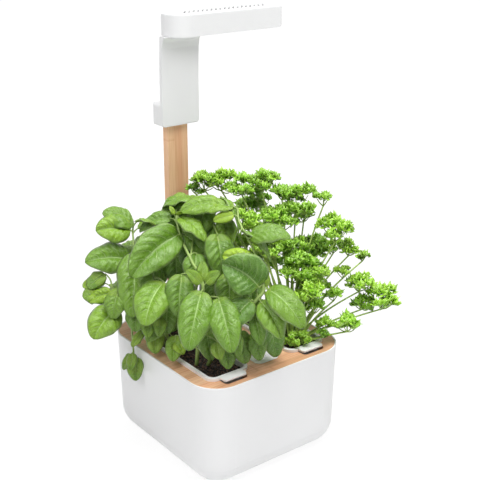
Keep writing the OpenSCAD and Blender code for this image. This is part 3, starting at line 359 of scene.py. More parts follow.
def mesh_piece(name, points, faces, materials, body, smooth=True):
    """A new piece from arrays of points (in mm) and faces of equal length, riding on a body."""
    mesh = bpy.data.meshes.new(name)
    faces = np.asarray(faces)
    count, corners = faces.shape
    mesh.vertices.add(len(points))
    mesh.vertices.foreach_set("co", (np.asarray(points, float) * MM).ravel())
    mesh.loops.add(count * corners)
    mesh.loops.foreach_set("vertex_index", faces.ravel())
    mesh.polygons.add(count)
    mesh.polygons.foreach_set("loop_start", np.arange(count) * corners)
    mesh.polygons.foreach_set("loop_total", np.full(count, corners))
    mesh.polygons.foreach_set("use_smooth", np.full(count, smooth))
    mesh.update(calc_edges=True)
    mesh.validate()
    for material in materials:
        mesh.materials.append(material)
    piece = bpy.data.objects.new(name, mesh)
    bpy.context.scene.collection.objects.link(piece)
    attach(piece, body)
    return piece


def crumbs(centre_x, seed, count=900):
    """Lumps: the 8 corners of a cube moved out or in at random, 0.5 to 4 mm across, turned and laid
    on the soil inside a rectangle, part sunk."""
    draw = np.random.default_rng(seed)
    cube = np.array([[x, y, z] for x in (-1, 1) for y in (-1, 1) for z in (-1, 1)], float)
    sides = np.array([[0, 1, 3, 2], [4, 6, 7, 5], [0, 4, 5, 1], [2, 3, 7, 6], [0, 2, 6, 4],
                      [1, 5, 7, 3]])
    size = draw.uniform(0.6, 1.5, count) * draw.choice([1.0, 1.0, 1.6], count)
    place = np.stack([draw.uniform(-CRUMB_REACH_X, CRUMB_REACH_X, count),
                      draw.uniform(-CRUMB_REACH_Y, CRUMB_REACH_Y, count), np.zeros(count)], 1)
    lump = cube[None] * draw.uniform(0.45, 0.8, (count, 8, 3)) * size[:, None, None]
    angle = draw.uniform(0, 2 * np.pi, (2, count))
    c, s = np.cos(angle), np.sin(angle)
    x = lump[..., 0] * c[0][:, None] - lump[..., 1] * s[0][:, None]
    y = lump[..., 0] * s[0][:, None] + lump[..., 1] * c[0][:, None]
    z = lump[..., 2] * c[1][:, None] - x * s[1][:, None]
    x = lump[..., 2] * s[1][:, None] + x * c[1][:, None]
    points = np.stack([x, y, z], -1) + place[:, None, :]
    points += np.array([centre_x, TRAY_Y, SOIL_Z + CRUMB_LIFT])
    faces = sides[None] + 8 * np.arange(count)[:, None, None]
    return points.reshape(-1, 3), faces.reshape(-1, 4)


for side, centre, seed in (("left", -TRAY_X, 11), ("right", TRAY_X, 12)):
    points, faces = crumbs(centre, seed)
    mesh_piece(side + "_soil_crumbs", points, faces, [moist_soil], side + "_pot", False)

# ------------------------------------------------------------------ basil
# Seven basil shoots: square juicy stems and opposite leaves on short stalks.
# Every blade is a thin closed sheet, quilted between its side veins, with a sunk midrib,
# glossy above and paler underneath.
# A stem is a curve through these points, from the soil up; the last one hangs over the rim.
STEMS = [
    [[-84, -47, 159], [-86, -58, 220], [-84, -64, 284], [-78, -30, 306], [-70, 5, 325],
     [-66, 22, 346]],
    [[-77, 27, 159], [-96, 20, 200], [-110, 35, 262], [-112, 56, 298], [-101, 80, 322]],
    [[-72, -57, 159], [-62, -90, 225], [-34, -112, 264], [-22, -114, 282], [-20, -90, 325],
     [-12, -50, 350], [-2, -32, 364]],
    [[-60, 0, 159], [-46, 10, 230], [-26, 10, 300], [-10, 8, 350], [-4, 8, 368]],
    [[-85, 53, 159], [-115, 45, 195], [-138, 54, 232], [-148, 68, 256]],
    [[-70, 66, 159], [-76, 80, 215], [-68, 74, 280]],
    [[-120, 47, 203], [-129, 44, 201], [-132, 40, 180], [-132, 38, 152]]]
# A leaf's row: stem, the height at which its stalk leaves it, the blade's foot x, y, z, its aim in
# plan, rise, length, width, bend, roll, cup, and last how bright and how yellow it is.
LEAVES = [
    (1, 318, -103, 80, 322, 160, 20, 50, 44, 30, 50, 0.15, 0.7, 0.3),
    (1, 320, -98, 84, 324, 140, 60, 50, 40, 70, 20, 0, 0.5, 0.1),
    (1, 318, -95, 76, 324, -30, 50, 25, 26, 60, 0, 0.1, 0.7, 0.2),
    (1, 282, -114, 70, 285, 155, 15, 62, 46, 30, 50, 0.1, 0.4, 0.1),
    (1, 296, -115, 50, 300, -135, -35, 92, 52, 40, 0, 0.1, 0.5, 0.1),
    (0, 330, -70, 8, 330, 180, -10, 92, 54, 40, 50, 0.45, 0.3, 0.1),
    (0, 342, -68, 30, 346, 145, 5, 52, 28, 60, 30, 0.2, 0.35, 0.1),
    (0, 344, -64, 18, 350, -70, -5, 55, 36, 50, 0, 0.1, 0.8, 0.1),
    (0, 345, -66, 26, 352, 100, 60, 14, 9, 20, 0, 0.2, 0.8, 0.8),
    (0, 345, -64, 20, 352, -110, 50, 14, 9, 20, 0, 0.2, 0.8, 0.8),
    (0, 326, -58, 14, 325, -65, -20, 38, 28, 30, -40, 0.1, 0.3, 0.1),
    (0, 310, -64, -22, 310, -120, -40, 42, 36, 30, 10, 0.1, 0.3, 0.1),
    (3, 358, -18, 18, 362, 135, 15, 66, 42, 50, -10, 0.1, 0.75, 0.0),
    (3, 362, -4, 2, 370, -95, -15, 60, 34, 60, 50, 0.1, 0.75, 0.0),
    (3, 340, -16, 2, 336, -170, -35, 42, 28, 30, 40, 0.1, 0.25, 0.1),
    (3, 320, -24, 22, 318, 110, 10, 48, 36, 50, 0, 0.1, 0.4, 0.4),
    (3, 270, -36, 24, 270, 85, 15, 45, 36, 60, 0, 0.1, 0.4, 0.4),
    (2, 362, -6, -30, 366, 140, 10, 55, 30, 40, 20, 0.2, 0.6, 0.3),
    (2, 354, -12, -38, 358, 150, -5, 30, 18, 20, 50, 0.1, 0.7, 0.8),
    (2, 338, -22, -84, 340, -50, 45, 60, 40, 80, -20, 0, 0.65, 0.0),
    (2, 345, -22, -66, 345, -65, -10, 60, 30, 60, 30, 0.1, 0.7, 0.0),
    # this leaf's full yellow is a painted glow of light shining through it from behind
    (2, 300, -26, -100, 298, 130, 55, 50, 36, 60, 50, 0.1, 0.7, 1.0),
    (2, 284, -28, -112, 282, 145, 55, 60, 56, 40, 70, 0.5, 0.2, 0.0),
    (2, 270, -30, -118, 264, -85, -20, 58, 38, 50, -20, 0.1, 0.6, 0.1),
    (2, 278, -20, -120, 280, -72, -5, 74, 44, 60, -20, 0.1, 0.5, 0.1),
    (2, 276, -20, -112, 278, 50, 75, 38, 24, 20, -30, 0.1, 0.7, 0.8),
    (2, 262, -42, -114, 268, -175, -25, 46, 36, 30, 30, 0.1, 0.15, 0.05),
    (2, 250, -40, -118, 246, -105, -45, 40, 22, 30, -20, 0.1, 0.3, 0.1),
    (2, 225, -60, -104, 222, -115, -45, 32, 18, 30, -10, 0.1, 0.4, 0.1),
    (0, 262, -74, -84, 270, -105, -30, 78, 42, 40, -20, 0.1, 0.45, 0.05),
    (0, 276, -88, -68, 278, -150, -40, 82, 46, 30, 20, 0.1, 0.45, 0.05),
    (0, 282, -87, -65, 286, 145, 60, 28, 18, 30, 50, 0.1, 0.4, 0.3),
    (0, 282, -84, -62, 287, 50, 80, 28, 18, 30, 0, 0.1, 0.4, 0.3),
    (0, 282, -81, -67, 286, -45, 55, 26, 18, 30, -50, 0.1, 0.4, 0.3),
    (1, 262, -108, -8, 275, -150, -15, 70, 52, 50, 10, 0.1, 0.65, 0.1),
    (1, 225, -122, -18, 232, -135, -45, 28, 20, 30, 10, 0.1, 0.5, 0.2),
    (1, 215, -130, -5, 226, -130, -30, 28, 20, 30, 0, 0.1, 0.5, 0.2),
    (1, 185, -108, -32, 196, -80, -25, 22, 18, 30, -30, 0.1, 0.6, 0.6),
    (4, 222, -148, 50, 226, -170, -10, 56, 46, 50, 30, 0.1, 0.5, 0.3),
    (4, 240, -150, 60, 246, 150, -5, 36, 24, 30, 50, 0.1, 0.6, 0.6),
    (4, 240, -162, 74, 242, 145, 10, 24, 28, 30, 50, 0.1, 0.4, 0.3),
    (4, 250, -156, 84, 256, 150, 0, 24, 20, 30, 50, 0.1, 0.6, 0.6),
    (4, 250, -148, 78, 268, 170, -20, 32, 26, 30, 30, 0.1, 0.4, 0.1),
    (4, 212, -118, 24, 216, 145, 5, 28, 24, 30, 50, 0.1, 0.3, 0.1),
    (5, 272, -78, 88, 280, 120, 25, 51, 42, 60, 0, 0.1, 0.4, 0.3),
    (5, 270, -60, 66, 280, 20, 20, 44, 36, 60, 0, 0.1, 0.4, 0.3),
    (5, 225, -84, 96, 232, 140, 5, 55, 42, 50, 0, 0.1, 0.4, 0.3),
    (1, 240, -92, 44, 250, 60, 20, 45, 36, 60, 0, 0.1, 0.35, 0.2),
    (1, 292, -98, 66, 300, 20, 30, 44, 36, 70, 0, 0.1, 0.35, 0.2),
    (6, 156, -132, 36, 152, -115, -70, 35, 24, 10, 0, 0.1, 0.35, 0.2),
    (6, 158, -134, 42, 154, 160, -50, 26, 18, 20, 20, 0.1, 0.4, 0.2),
    (6, 162, -136, 34, 160, -140, -40, 24, 16, 20, 0, 0.1, 0.4, 0.2),
    (0, 288, -96, -34, 292, -135, -50, 58, 40, 30, 10, 0.1, 0.25, 0.1),
    (1, 238, -102, -8, 246, -120, -55, 46, 34, 30, 0, 0.1, 0.3, 0.1),
    (3, 330, -34, -28, 334, -115, -50, 60, 44, 40, 10, 0.1, 0.3, 0.1),
    (2, 292, -36, -60, 288, -130, -50, 50, 40, 40, 0, 0.1, 0.45, 0.1),
    (3, 362, -16, -14, 368, 150, 10, 58, 34, 40, 30, 0.1, 0.75, 0.1),
    (3, 340, -4, -4, 342, -110, -35, 42, 32, 40, 0, 0.1, 0.5, 0.3),
    (4, 190, -112, 6, 200, -130, -50, 34, 26, 30, 0, 0.1, 0.45, 0.3),
    (0, 185, -104, -28, 202, -140, -45, 36, 26, 30, 0, 0.1, 0.4, 0.3),
    (0, 215, -78, -62, 220, -100, -55, 46, 32, 20, 0, 0.1, 0.3, 0.1),
    (2, 215, -44, -92, 216, -90, -55, 46, 34, 30, 0, 0.1, 0.35, 0.1),
    (2, 200, -70, -88, 206, -100, -50, 38, 28, 30, 0, 0.1, 0.3, 0.1),
    (2, 235, -4, -98, 222, -80, -55, 54, 40, 30, -10, 0.1, 0.3, 0.0),
    (2, 232, -26, -104, 216, -100, -55, 42, 30, 30, 0, 0.1, 0.35, 0.1),
    (1, 320, -104, 62, 340, -70, 25, 36, 26, 50, 20, 0.1, 0.6, 0.2),
    (3, 300, -46, 14, 322, -130, -45, 50, 36, 30, 0, 0.1, 0.2, 0.0),
    (5, 250, -60, 84, 262, 60, 0, 46, 36, 50, 0, 0.1, 0.4, 0.3),
    (3, 250, -26, 30, 262, 100, 10, 44, 36, 60, 0, 0.1, 0.35, 0.2),
    (1, 200, -100, 4, 210, -170, -10, 40, 30, 40, 0, 0.1, 0.35, 0.2),
    (0, 205, -82, -92, 212, -110, -30, 26, 20, 30, -10, 0.1, 0.4, 0.2),
    (5, 210, -60, 84, 212, 40, 10, 34, 30, 50, 0, 0.1, 0.4, 0.3),
    (4, 185, -120, 26, 194, 170, -30, 30, 22, 30, 0, 0.1, 0.4, 0.3),
    (0, 345, -41, 55, 351, -115, -50, 50, 38, 30, 0, 0.1, 0.3, 0.1),
    (0, 307, -21, 40, 313, -140, -45, 48, 36, 30, 10, 0.1, 0.3, 0.2),
    (0, 285, -52, 45, 291, -120, -55, 50, 36, 30, 0, 0.1, 0.2, 0.1),
    (3, 353, -17, 20, 359, -150, -30, 50, 36, 40, 10, 0.1, 0.45, 0.1),
    (3, 257, -16, 0, 263, -127, -60, 52, 42, 20, 0, 0.1, 0.2, 0.1),
    (1, 282, -69, 60, 288, -110, -50, 46, 34, 30, 0, 0.1, 0.25, 0.1),
    (1, 254, -148, 40, 260, -150, -50, 44, 34, 30, 0, 0.1, 0.3, 0.2),
    (2, 268, -2, -60, 274, -110, -50, 44, 34, 30, 0, 0.1, 0.25, 0.1),
    (0, 359, -27, 50, 365, 170, -15, 50, 34, 40, 20, 0.1, 0.55, 0.1),
    (3, 282, -6, 8, 288, -105, -50, 50, 38, 30, 0, 0.1, 0.25, 0.2),
    (0, 239, -50, 0, 245, -150, -55, 46, 36, 20, 0, 0.1, 0.2, 0.1),
    (0, 220, -74, 30, 226, -110, -55, 46, 36, 20, 0, 0.1, 0.2, 0.1),
    (1, 238, -129, 20, 244, -140, -50, 44, 34, 20, 0, 0.1, 0.25, 0.1),
    (3, 296, 0, 30, 302, -160, -40, 44, 32, 30, 0, 0.1, 0.35, 0.3),
    (1, 304, -89, 60, 310, -140, -40, 44, 32, 30, 0, 0.1, 0.4, 0.3),
    (2, 238, 3, -80, 244, -90, -55, 40, 30, 20, 0, 0.1, 0.2, 0.1),
    (2, 222, -32, -50, 228, -130, -60, 44, 34, 20, 0, 0.1, 0.15, 0.1)]
# side veins: the share of the length from one to the next, and how far they run forward
VEIN_GAP, VEIN_SWEEP = 0.15, 0.3
# radii in mm: of a stem and of the hanging side stem at the foot, of both at the top, and of a
# leaf's stalk at both ends
STEM_FOOT, SIDE_STEM_FOOT, STEM_TOP, STALK_FOOT, STALK_TOP = 2.7, 1.6, 1.2, 1.35, 0.7
# leaves over this length have more points
LONG_LEAF = 35


def smooth_path(corners, steps=12):
    """A curve through the corners: cubic pieces whose slope at each corner is half the way
    from the corner before to the one after."""
    p = np.asarray(corners, float)
    p = np.concatenate([2 * p[:1] - p[1:2], p, 2 * p[-1:] - p[-2:-1]])
    t = np.linspace(0, 1, steps, endpoint=False)[None, :, None]
    a, b, c, d = (p[i:len(p) - 3 + i, None] for i in range(4))
    curve = 0.5 * (2 * b + (c - a) * t + (2 * a - 5 * b + 4 * c - d) * t ** 2
                   + (3 * b - 3 * c + d - a) * t ** 3)
    return np.concatenate([curve.reshape(-1, 3), p[-2:-1]])


def tube(path, radius, sides=8, square=0.0, ribs=0):
    """A round bar along a path, closed by a point at each end. A ring at each path point stands
    across the path; square makes its section squarer, ribs adds that many low ridges."""
    path = np.asarray(path, float)
    radius = np.broadcast_to(radius, len(path))
    ahead = np.gradient(path, axis=0)
    ahead /= np.linalg.norm(ahead, axis=1, keepdims=True)
    least = np.eye(3)[np.argmin(np.abs(ahead).mean(0))]
    first = np.cross(ahead, least)
    first /= np.linalg.norm(first, axis=1, keepdims=True)
    second = np.cross(ahead, first)
    angle = np.linspace(0, 2 * np.pi, sides, endpoint=False)
    out = 1 + square * (np.abs(np.sin(2 * angle)) - 0.5)
    if ribs:
        out = out + 0.1 * np.cos(ribs * angle)
    ring = (first[:, None] * np.cos(angle)[None, :, None]
            + second[:, None] * np.sin(angle)[None, :, None])
    points = path[:, None] + ring * (radius[:, None] * out[None])[..., None]
    rows = len(path)
    points = np.concatenate([points.reshape(-1, 3), path[:1] - ahead[:1] * radius[0] * 0.6,
                             path[-1:] + ahead[-1:] * radius[-1] * 0.6])
    i, j = np.meshgrid(np.arange(rows - 1), np.arange(sides), indexing="ij")
    a, b = i * sides + j, i * sides + (j + 1) % sides
    faces = np.concatenate([np.stack([a, b, b + sides], -1).reshape(-1, 3),
                            np.stack([a, b + sides, a + sides], -1).reshape(-1, 3)])
    j = np.arange(sides)
    k = (j + 1) % sides
    foot = np.stack([np.full(sides, rows * sides), k, j], -1)
    top = np.stack([np.full(sides, rows * sides + 1), j + (rows - 1) * sides,
                    k + (rows - 1) * sides], -1)
    return points, np.concatenate([faces, foot, top])


def sheet_faces(rows, columns):
    """Triangles of a closed sheet: an upper and a lower grid that share their outer points.
    Returns them with, for each, whether it is on the underside."""
    upper = np.arange(rows * columns).reshape(rows, columns)
    lower = upper.copy()
    lower[1:-1, 1:-1] = rows * columns + np.arange((rows - 2) * (columns - 2)).reshape(
        rows - 2, columns - 2)

    def split(grid, flip):
        a, b, c, d = grid[:-1, :-1], grid[:-1, 1:], grid[1:, 1:], grid[1:, :-1]
        corners = (a, b, c, d) if not flip else (a, d, c, b)
        a, b, c, d = (x.ravel() for x in corners)
        return np.concatenate([np.stack([a, b, c], -1), np.stack([a, c, d], -1)])

    faces = np.concatenate([split(upper, False), split(lower, True)])
    half = len(faces) // 2
    return faces, np.arange(len(faces)) >= half


def blade(base, aim, rise, length, width, bend, roll, cup, seed, rows, columns):
    """One leaf. The midrib is an arc in an upright plane that also drifts a little sideways; the
    blade reaches out from it by half of its width, pointed at both ends and widest at two fifths,
    and turns slowly about it. Its height over the midrib's plane is the cup, a margin rolled
    under, swellings between the side veins, the groove of the midrib and a slow wave of the
    margin. t runs along the leaf and v across it, and m is how far out from the midrib a point
    is. Returns points, and where each is along and across."""
    draw = np.random.default_rng(seed)
    t = np.linspace(0, 1, rows)[:, None]
    v = np.linspace(-1, 1, columns)[None]
    v = np.sign(v) * np.abs(v) ** 0.9
    aim, rise, bend, roll = np.radians([aim, rise, bend, roll])
    k = length / bend
    a = rise - bend * t
    reach, climb = k * (np.sin(rise) - np.sin(a)), k * (np.cos(a) - np.cos(rise))
    line = np.stack([reach * np.cos(aim), reach * np.sin(aim), climb], -1) + np.array(base, float)
    half = 0.3 + width / 2 * np.sin(np.pi * t ** 0.76).clip(0) ** 0.6
    side = np.broadcast_to(np.array([np.sin(aim), -np.cos(aim), 0]), line.shape)
    line = line + side * (length * draw.uniform(-0.07, 0.07) * np.sin(2.4 * t))[..., None]
    up = np.stack([-np.sin(a) * np.cos(aim), -np.sin(a) * np.sin(aim), np.cos(a)], -1)
    turned = roll + np.radians(draw.uniform(-26, 26)) * (t - 0.35)
    across = side * np.cos(turned)[..., None] + up * np.sin(turned)[..., None]
    normal = up * np.cos(turned)[..., None] - side * np.sin(turned)[..., None]
    m = np.abs(v)
    vein = (t - VEIN_SWEEP * m ** 1.3) / VEIN_GAP + 0.25 * np.sign(v)
    ends = np.sin(np.pi * t.clip(0.001, 0.999)) ** 0.6
    swell = np.abs(np.sin(np.pi * vein)) ** 0.8 * np.minimum(1, m / 0.25) * (1 - m ** 4) * ends
    lift = (cup * m ** 1.4 + 0.14 * np.sin(np.pi * m ** 0.9) * ends - 0.2 * m ** 3.5 * ends) * half
    lift += 0.13 * half * swell - min(1.2, width / 26) * np.exp(-(v * half / 1.3) ** 2)
    lift += 0.09 * half * np.sin(2 * np.pi * (2.2 * t + draw.random()) + 2 * v) * m ** 3 * ends
    lift += 0.04 * half * np.sin(2 * np.pi * (3.1 * t + draw.random()) - 5 * v) * ends * m
    thick = 0.28 * (1 - m ** 6) * np.ones_like(t)
    place = line + across * (v * half)[..., None]
    upper = place + normal * (lift + thick)[..., None]
    lower = (place + normal * (lift - thick)[..., None])[1:-1, 1:-1]
    flat = np.stack(np.broadcast_arrays(t, (v + 1) / 2), -1)
    return (np.concatenate([upper.reshape(-1, 3), lower.reshape(-1, 3)]),
            np.concatenate([flat.reshape(-1, 2), flat[1:-1, 1:-1].reshape(-1, 2)]))


def gather(parts):
    """Join (points, faces) pairs into one pair, the faces counted on."""
    counts = np.cumsum([0] + [len(points) for points, _ in parts])
    return (np.concatenate([points for points, _ in parts]),
            np.concatenate([faces + start for (_, faces), start in zip(parts, counts)]))


def mark(piece, flat=None, under=None, **values):
    """Give a piece its leaf map, its underside's material and its values at each point."""
    mesh = piece.data
    if flat is not None:
        corner = np.empty(len(mesh.loops), int)
        mesh.loops.foreach_get("vertex_index", corner)
        mesh.uv_layers.new(name="leaf").uv.foreach_set("vector", flat[corner].astype(float).ravel())
    if under is not None:
        mesh.polygons.foreach_set("material_index", under.astype(int))
    for name, value in values.items():
        mesh.attributes.new(name, "FLOAT", "POINT").data.foreach_set("value", value)


# the group's Vein output holds the veins and also a painted highlight along the leaf's rim
leaf_veins_and_rim_highlight, given, end, add = effect_group(
    "leaf veins", [("Map", VECTOR, (0, 0, 0)), ("Vein gap", NUMBER, VEIN_GAP),
                   ("Sweep", NUMBER, VEIN_SWEEP)],
    [("Vein", NUMBER), ("Net", NUMBER), ("Height", NUMBER)])
spot = add("SeparateXYZ", i0=given["Map"]).outputs
centred = reckon(add, "MULTIPLY_ADD", spot["Y"], 2.0, -1.0)
out = reckon(add, "ABSOLUTE", centred)
back = reckon(add, "MULTIPLY", reckon(add, "POWER", out, 1.3), given["Sweep"])
turn = reckon(add, "DIVIDE", reckon(add, "SUBTRACT", spot["X"], back), given["Vein gap"])
turn = reckon(add, "MULTIPLY_ADD", reckon(add, "SIGN", centred), 0.25, turn)
wander = add("TexNoise", Vector=given["Map"], Scale=7.0, Detail=1.0)
turn = reckon(add, "MULTIPLY_ADD", wander, 0.5, turn)
side_vein = ramp(add, reckon(add, "PINGPONG", turn, 0.5), 0.005, 0.06, 1.0, 0.0)
side_vein = reckon(add, "MULTIPLY", side_vein, ramp(add, out, 0.15, 1.0, 0.7, 0.05))
mid_width = ramp(add, spot["X"], 0.0, 1.0, 0.07, 0.025)
vein = reckon(add, "MAXIMUM", side_vein, ramp(add, out, 0.01, mid_width, 1.0, 0.0))
# painted highlight: the rim of the leaf is drawn paler, as the shine along its edge
vein = reckon(add, "MAXIMUM", vein, ramp(add, out, 0.88, 0.96, 0.0, 0.8))
stretched = add("VectorMath", operation="MULTIPLY", i0=given["Map"], i1=(26.0, 15.0, 1.0))
net = add("TexVoronoi", feature="DISTANCE_TO_EDGE", Vector=stretched, Scale=1.0)
net_line = ramp(add, net, 0.0, 0.16, 1.0, 0.0)
height = reckon(add, "SUBTRACT", reckon(add, "MULTIPLY_ADD", net_line, -0.35, 1.0), vein)
fill(end, Vein=vein, Net=net_line, Height=height)


def leaf_green(name, dark, light, yellow, vein_and_rim_highlight_tone, vein_and_rim_highlight_amount, rough, relief, shine=0.38,
               wax=0.0):
    """A leaf's green: between dark and light by the leaf's own brightness and soft clouds, towards
    yellow for new leaves and for the painted glow of one backlit leaf, with paler veins and a
    painted highlight along the rim, under a thin layer of wax."""
    material, add, where = new_material(name)
    bright = add("Attribute", attribute_name="bright").outputs["Fac"]
    # the yellow value gives young leaves their colour, and on one basil leaf paints the glow of
    # backlight
    young = add("Attribute", attribute_name="young").outputs["Fac"]
    veins = add("Group", node_tree=leaf_veins_and_rim_highlight, Map=where["UV"]).outputs
    cloud = add("TexNoise", Vector=where["Object"], Scale=55.0, Detail=3.0)
    fine = add("TexNoise", Vector=where["Object"], Scale=700.0, Detail=3.0)
    crinkle = add("TexNoise", Vector=where["Object"], Scale=170.0, Detail=2.0)
    level = reckon(add, "MULTIPLY_ADD", cloud, 0.5, bright)
    level = reckon(add, "MULTIPLY_ADD", fine, 0.2, level)
    level = reckon(add, "SUBTRACT", level, 0.35, use_clamp=True)
    # these lines carry the painted rim highlight as well as the veins and the net
    veins_and_rim_highlight = reckon(add, "MULTIPLY_ADD", veins["Net"], 0.12, veins["Vein"])
    veins_and_rim_highlight = reckon(add, "MULTIPLY", veins_and_rim_highlight, vein_and_rim_highlight_amount, use_clamp=True)
    green = mixed(add, young, mixed(add, level, dark, light), yellow)
    puckered = reckon(add, "MULTIPLY_ADD", crinkle, 1.6, veins["Height"])
    close(add, mixed(add, veins_and_rim_highlight, green, vein_and_rim_highlight_tone), ramp(add, fine, 0.3, 0.7, rough, rough + 0.12),
          puckered, relief, 0.0009, Specular_IOR_Level=shine, Coat_Weight=wax,
          Coat_Roughness=0.42)
    return material


basil_top = leaf_green("basil leaf top", (0.045, 0.15, 0.001), (0.19, 0.37, 0.008),
                       (0.34, 0.54, 0.008), (0.55, 0.76, 0.3), 0.62, 0.24, 0.9, 0.5, 0.3)
basil_under = leaf_green("basil leaf underside", (0.13, 0.23, 0.02), (0.28, 0.42, 0.06),
                         (0.38, 0.54, 0.04), (0.45, 0.58, 0.18), 0.7, 0.5, -0.5)


def stem_green(name, low, high):
    """Juicy stem: long fine streaks, fresher at some places than at others."""
    material, add, where = new_material(name)
    longer = add("Mapping", Vector=where["Object"], Scale=(500, 500, 30))
    streak = add("TexNoise", Vector=longer, Scale=1.0, Detail=3.0)
    close(add, mixed(add, streak, low, high), 0.45, streak, 0.3, 0.0003)
    return material


stem_paths = [smooth_path(corners) for corners in STEMS]
parts = []
for path in stem_paths:
    foot = SIDE_STEM_FOOT if path is stem_paths[-1] else STEM_FOOT
    parts.append(tube(path, np.linspace(foot, STEM_TOP, len(path)), 12, 0.16))
for stem, height, x, y, z, aim, rise, length, width, *_ in LEAVES:
    path = stem_paths[stem]
    foot = path[np.argmin(np.abs(path[:, 2] - height))]
    base = np.array([x, y, z], float)
    turn, tilt = np.radians([aim, rise])
    ahead = np.array([np.cos(tilt) * np.cos(turn), np.cos(tilt) * np.sin(turn), np.sin(tilt)])
    # the stalk bows up a little between the stem and the blade, and runs into its foot
    apart = np.linalg.norm(base - foot)
    bow = foot + (base - foot) * 0.5 + np.array([0, 0, 0.08]) * apart - ahead * 0.08 * apart
    path = smooth_path([foot, bow, base, base + ahead * 0.06 * length], 5)
    thinner = min(1.0, width / 26)
    parts.append(tube(path, np.linspace(STALK_FOOT, STALK_TOP, len(path)) * thinner, 7))
points, faces = gather(parts)
mesh_piece("basil_stalks", points, faces,
           [stem_green("basil stem", (0.17, 0.3, 0.05), (0.42, 0.53, 0.18))],
           "left_pot")

parts, flats, unders, brights, youngs = [], [], [], [], []
for n, (_, _, x, y, z, aim, rise, length, *shape, bright, young) in enumerate(LEAVES):
    rows, columns = (35, 17) if length > LONG_LEAF else (19, 9)
    points, flat = blade((x, y, z), aim, rise, length, *shape, 40 + n, rows, columns)
    faces, under = sheet_faces(rows, columns)
    parts.append((points, faces))
    flats.append(flat)
    unders.append(under)
    brights.append(np.full(len(points), bright))
    youngs.append(np.full(len(points), young) * (0.75 + 0.25 * flat[:, 0]))
points, faces = gather(parts)
basil_leaves = mesh_piece("basil_leaves", points, faces, [basil_top, basil_under], "left_pot")
mark(basil_leaves, np.concatenate(flats), np.concatenate(unders),
     bright=np.concatenate(brights), young=np.concatenate(youngs))
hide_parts("basil")

# ------------------------------------------------------------------ parsley
# Curled parsley: thin stalks that spread from the front of the right tray, each with a crown of
# small fan-shaped leaflets, ruffled and toothed along their rims.
# A stalk's row: foot on the soil x, y, the crown's middle x, y, z, and the crown's radius.
STALKS = [
    (50, -70, 16, 70, 384, 21), (52, -66, 36, 56, 386, 24), (56, -62, 48, 24, 386, 23),
    (60, -58, 72, 8, 391, 23), (62, -62, 84, 32, 360, 19), (58, -74, 42, -8, 338, 26),
    (66, -66, 109, -24, 368, 30), (64, -70, 78, -28, 342, 26), (62, -78, 58, -30, 308, 26),
    (72, -60, 140, -48, 358, 14), (70, -72, 134, -82, 330, 27), (74, -66, 158, -86, 292, 16),
    (66, -78, 88, -64, 284, 28), (68, -70, 115, -60, 244, 25), (76, -74, 162, -106, 246, 20),
    (74, -80, 186, -130, 226, 25), (68, -86, 122, -126, 200, 19), (66, -84, 76, -94, 252, 22),
    (74, -56, 112, 12, 330, 26), (70, -50, 84, 52, 336, 27), (78, -58, 144, -14, 274, 27),
    (62, -50, 52, 34, 290, 26), (80, -64, 146, -30, 288, 22), (72, -44, 96, 28, 262, 27),
    (52, -58, 8, 82, 366, 11), (78, -70, 201, -72, 262, 10), (78, -78, 164, -112, 216, 17),
    (72, -82, 100, -104, 197, 13), (60, -86, 64, -98, 180, 11), (72, -88, 90, -112, 184, 9),
    (54, -82, 47, -92, 181, 12), (76, -62, 137, -10, 330, 19), (70, -60, 88, -18, 372, 16),
    (76, -68, 152, -60, 288, 15),
    (66, -74, 70, -66, 268, 19), (68, -76, 98, -84, 266, 19), (72, -78, 96, -66, 232, 18),
    (64, -68, 76, -44, 304, 18), (66, -72, 104, -44, 300, 17), (70, -84, 88, -92, 222, 16),
    (74, -82, 122, -96, 232, 14), (62, -76, 60, -80, 226, 15), (78, -76, 142, -92, 258, 12)]
# crowns over this height are a piece of their own, so that no piece has too many faces
UPPER_CROWNS = 300
# the oldest crowns lie between these heights and are larger than this radius
OLD_LOW, OLD_HIGH, OLD_RADIUS = 190, 265, 12
# the turn from one leaflet to the next in a crown, in radians
GOLDEN_ANGLE = 2.39996
# radii in mm at both ends of a stalk, a twig and a leaflet's own stalk
STALK_RADII, TWIG_RADII, LEAFLET_RADII = (1.7, 1.1), (1.0, 0.7), (0.7, 0.4)


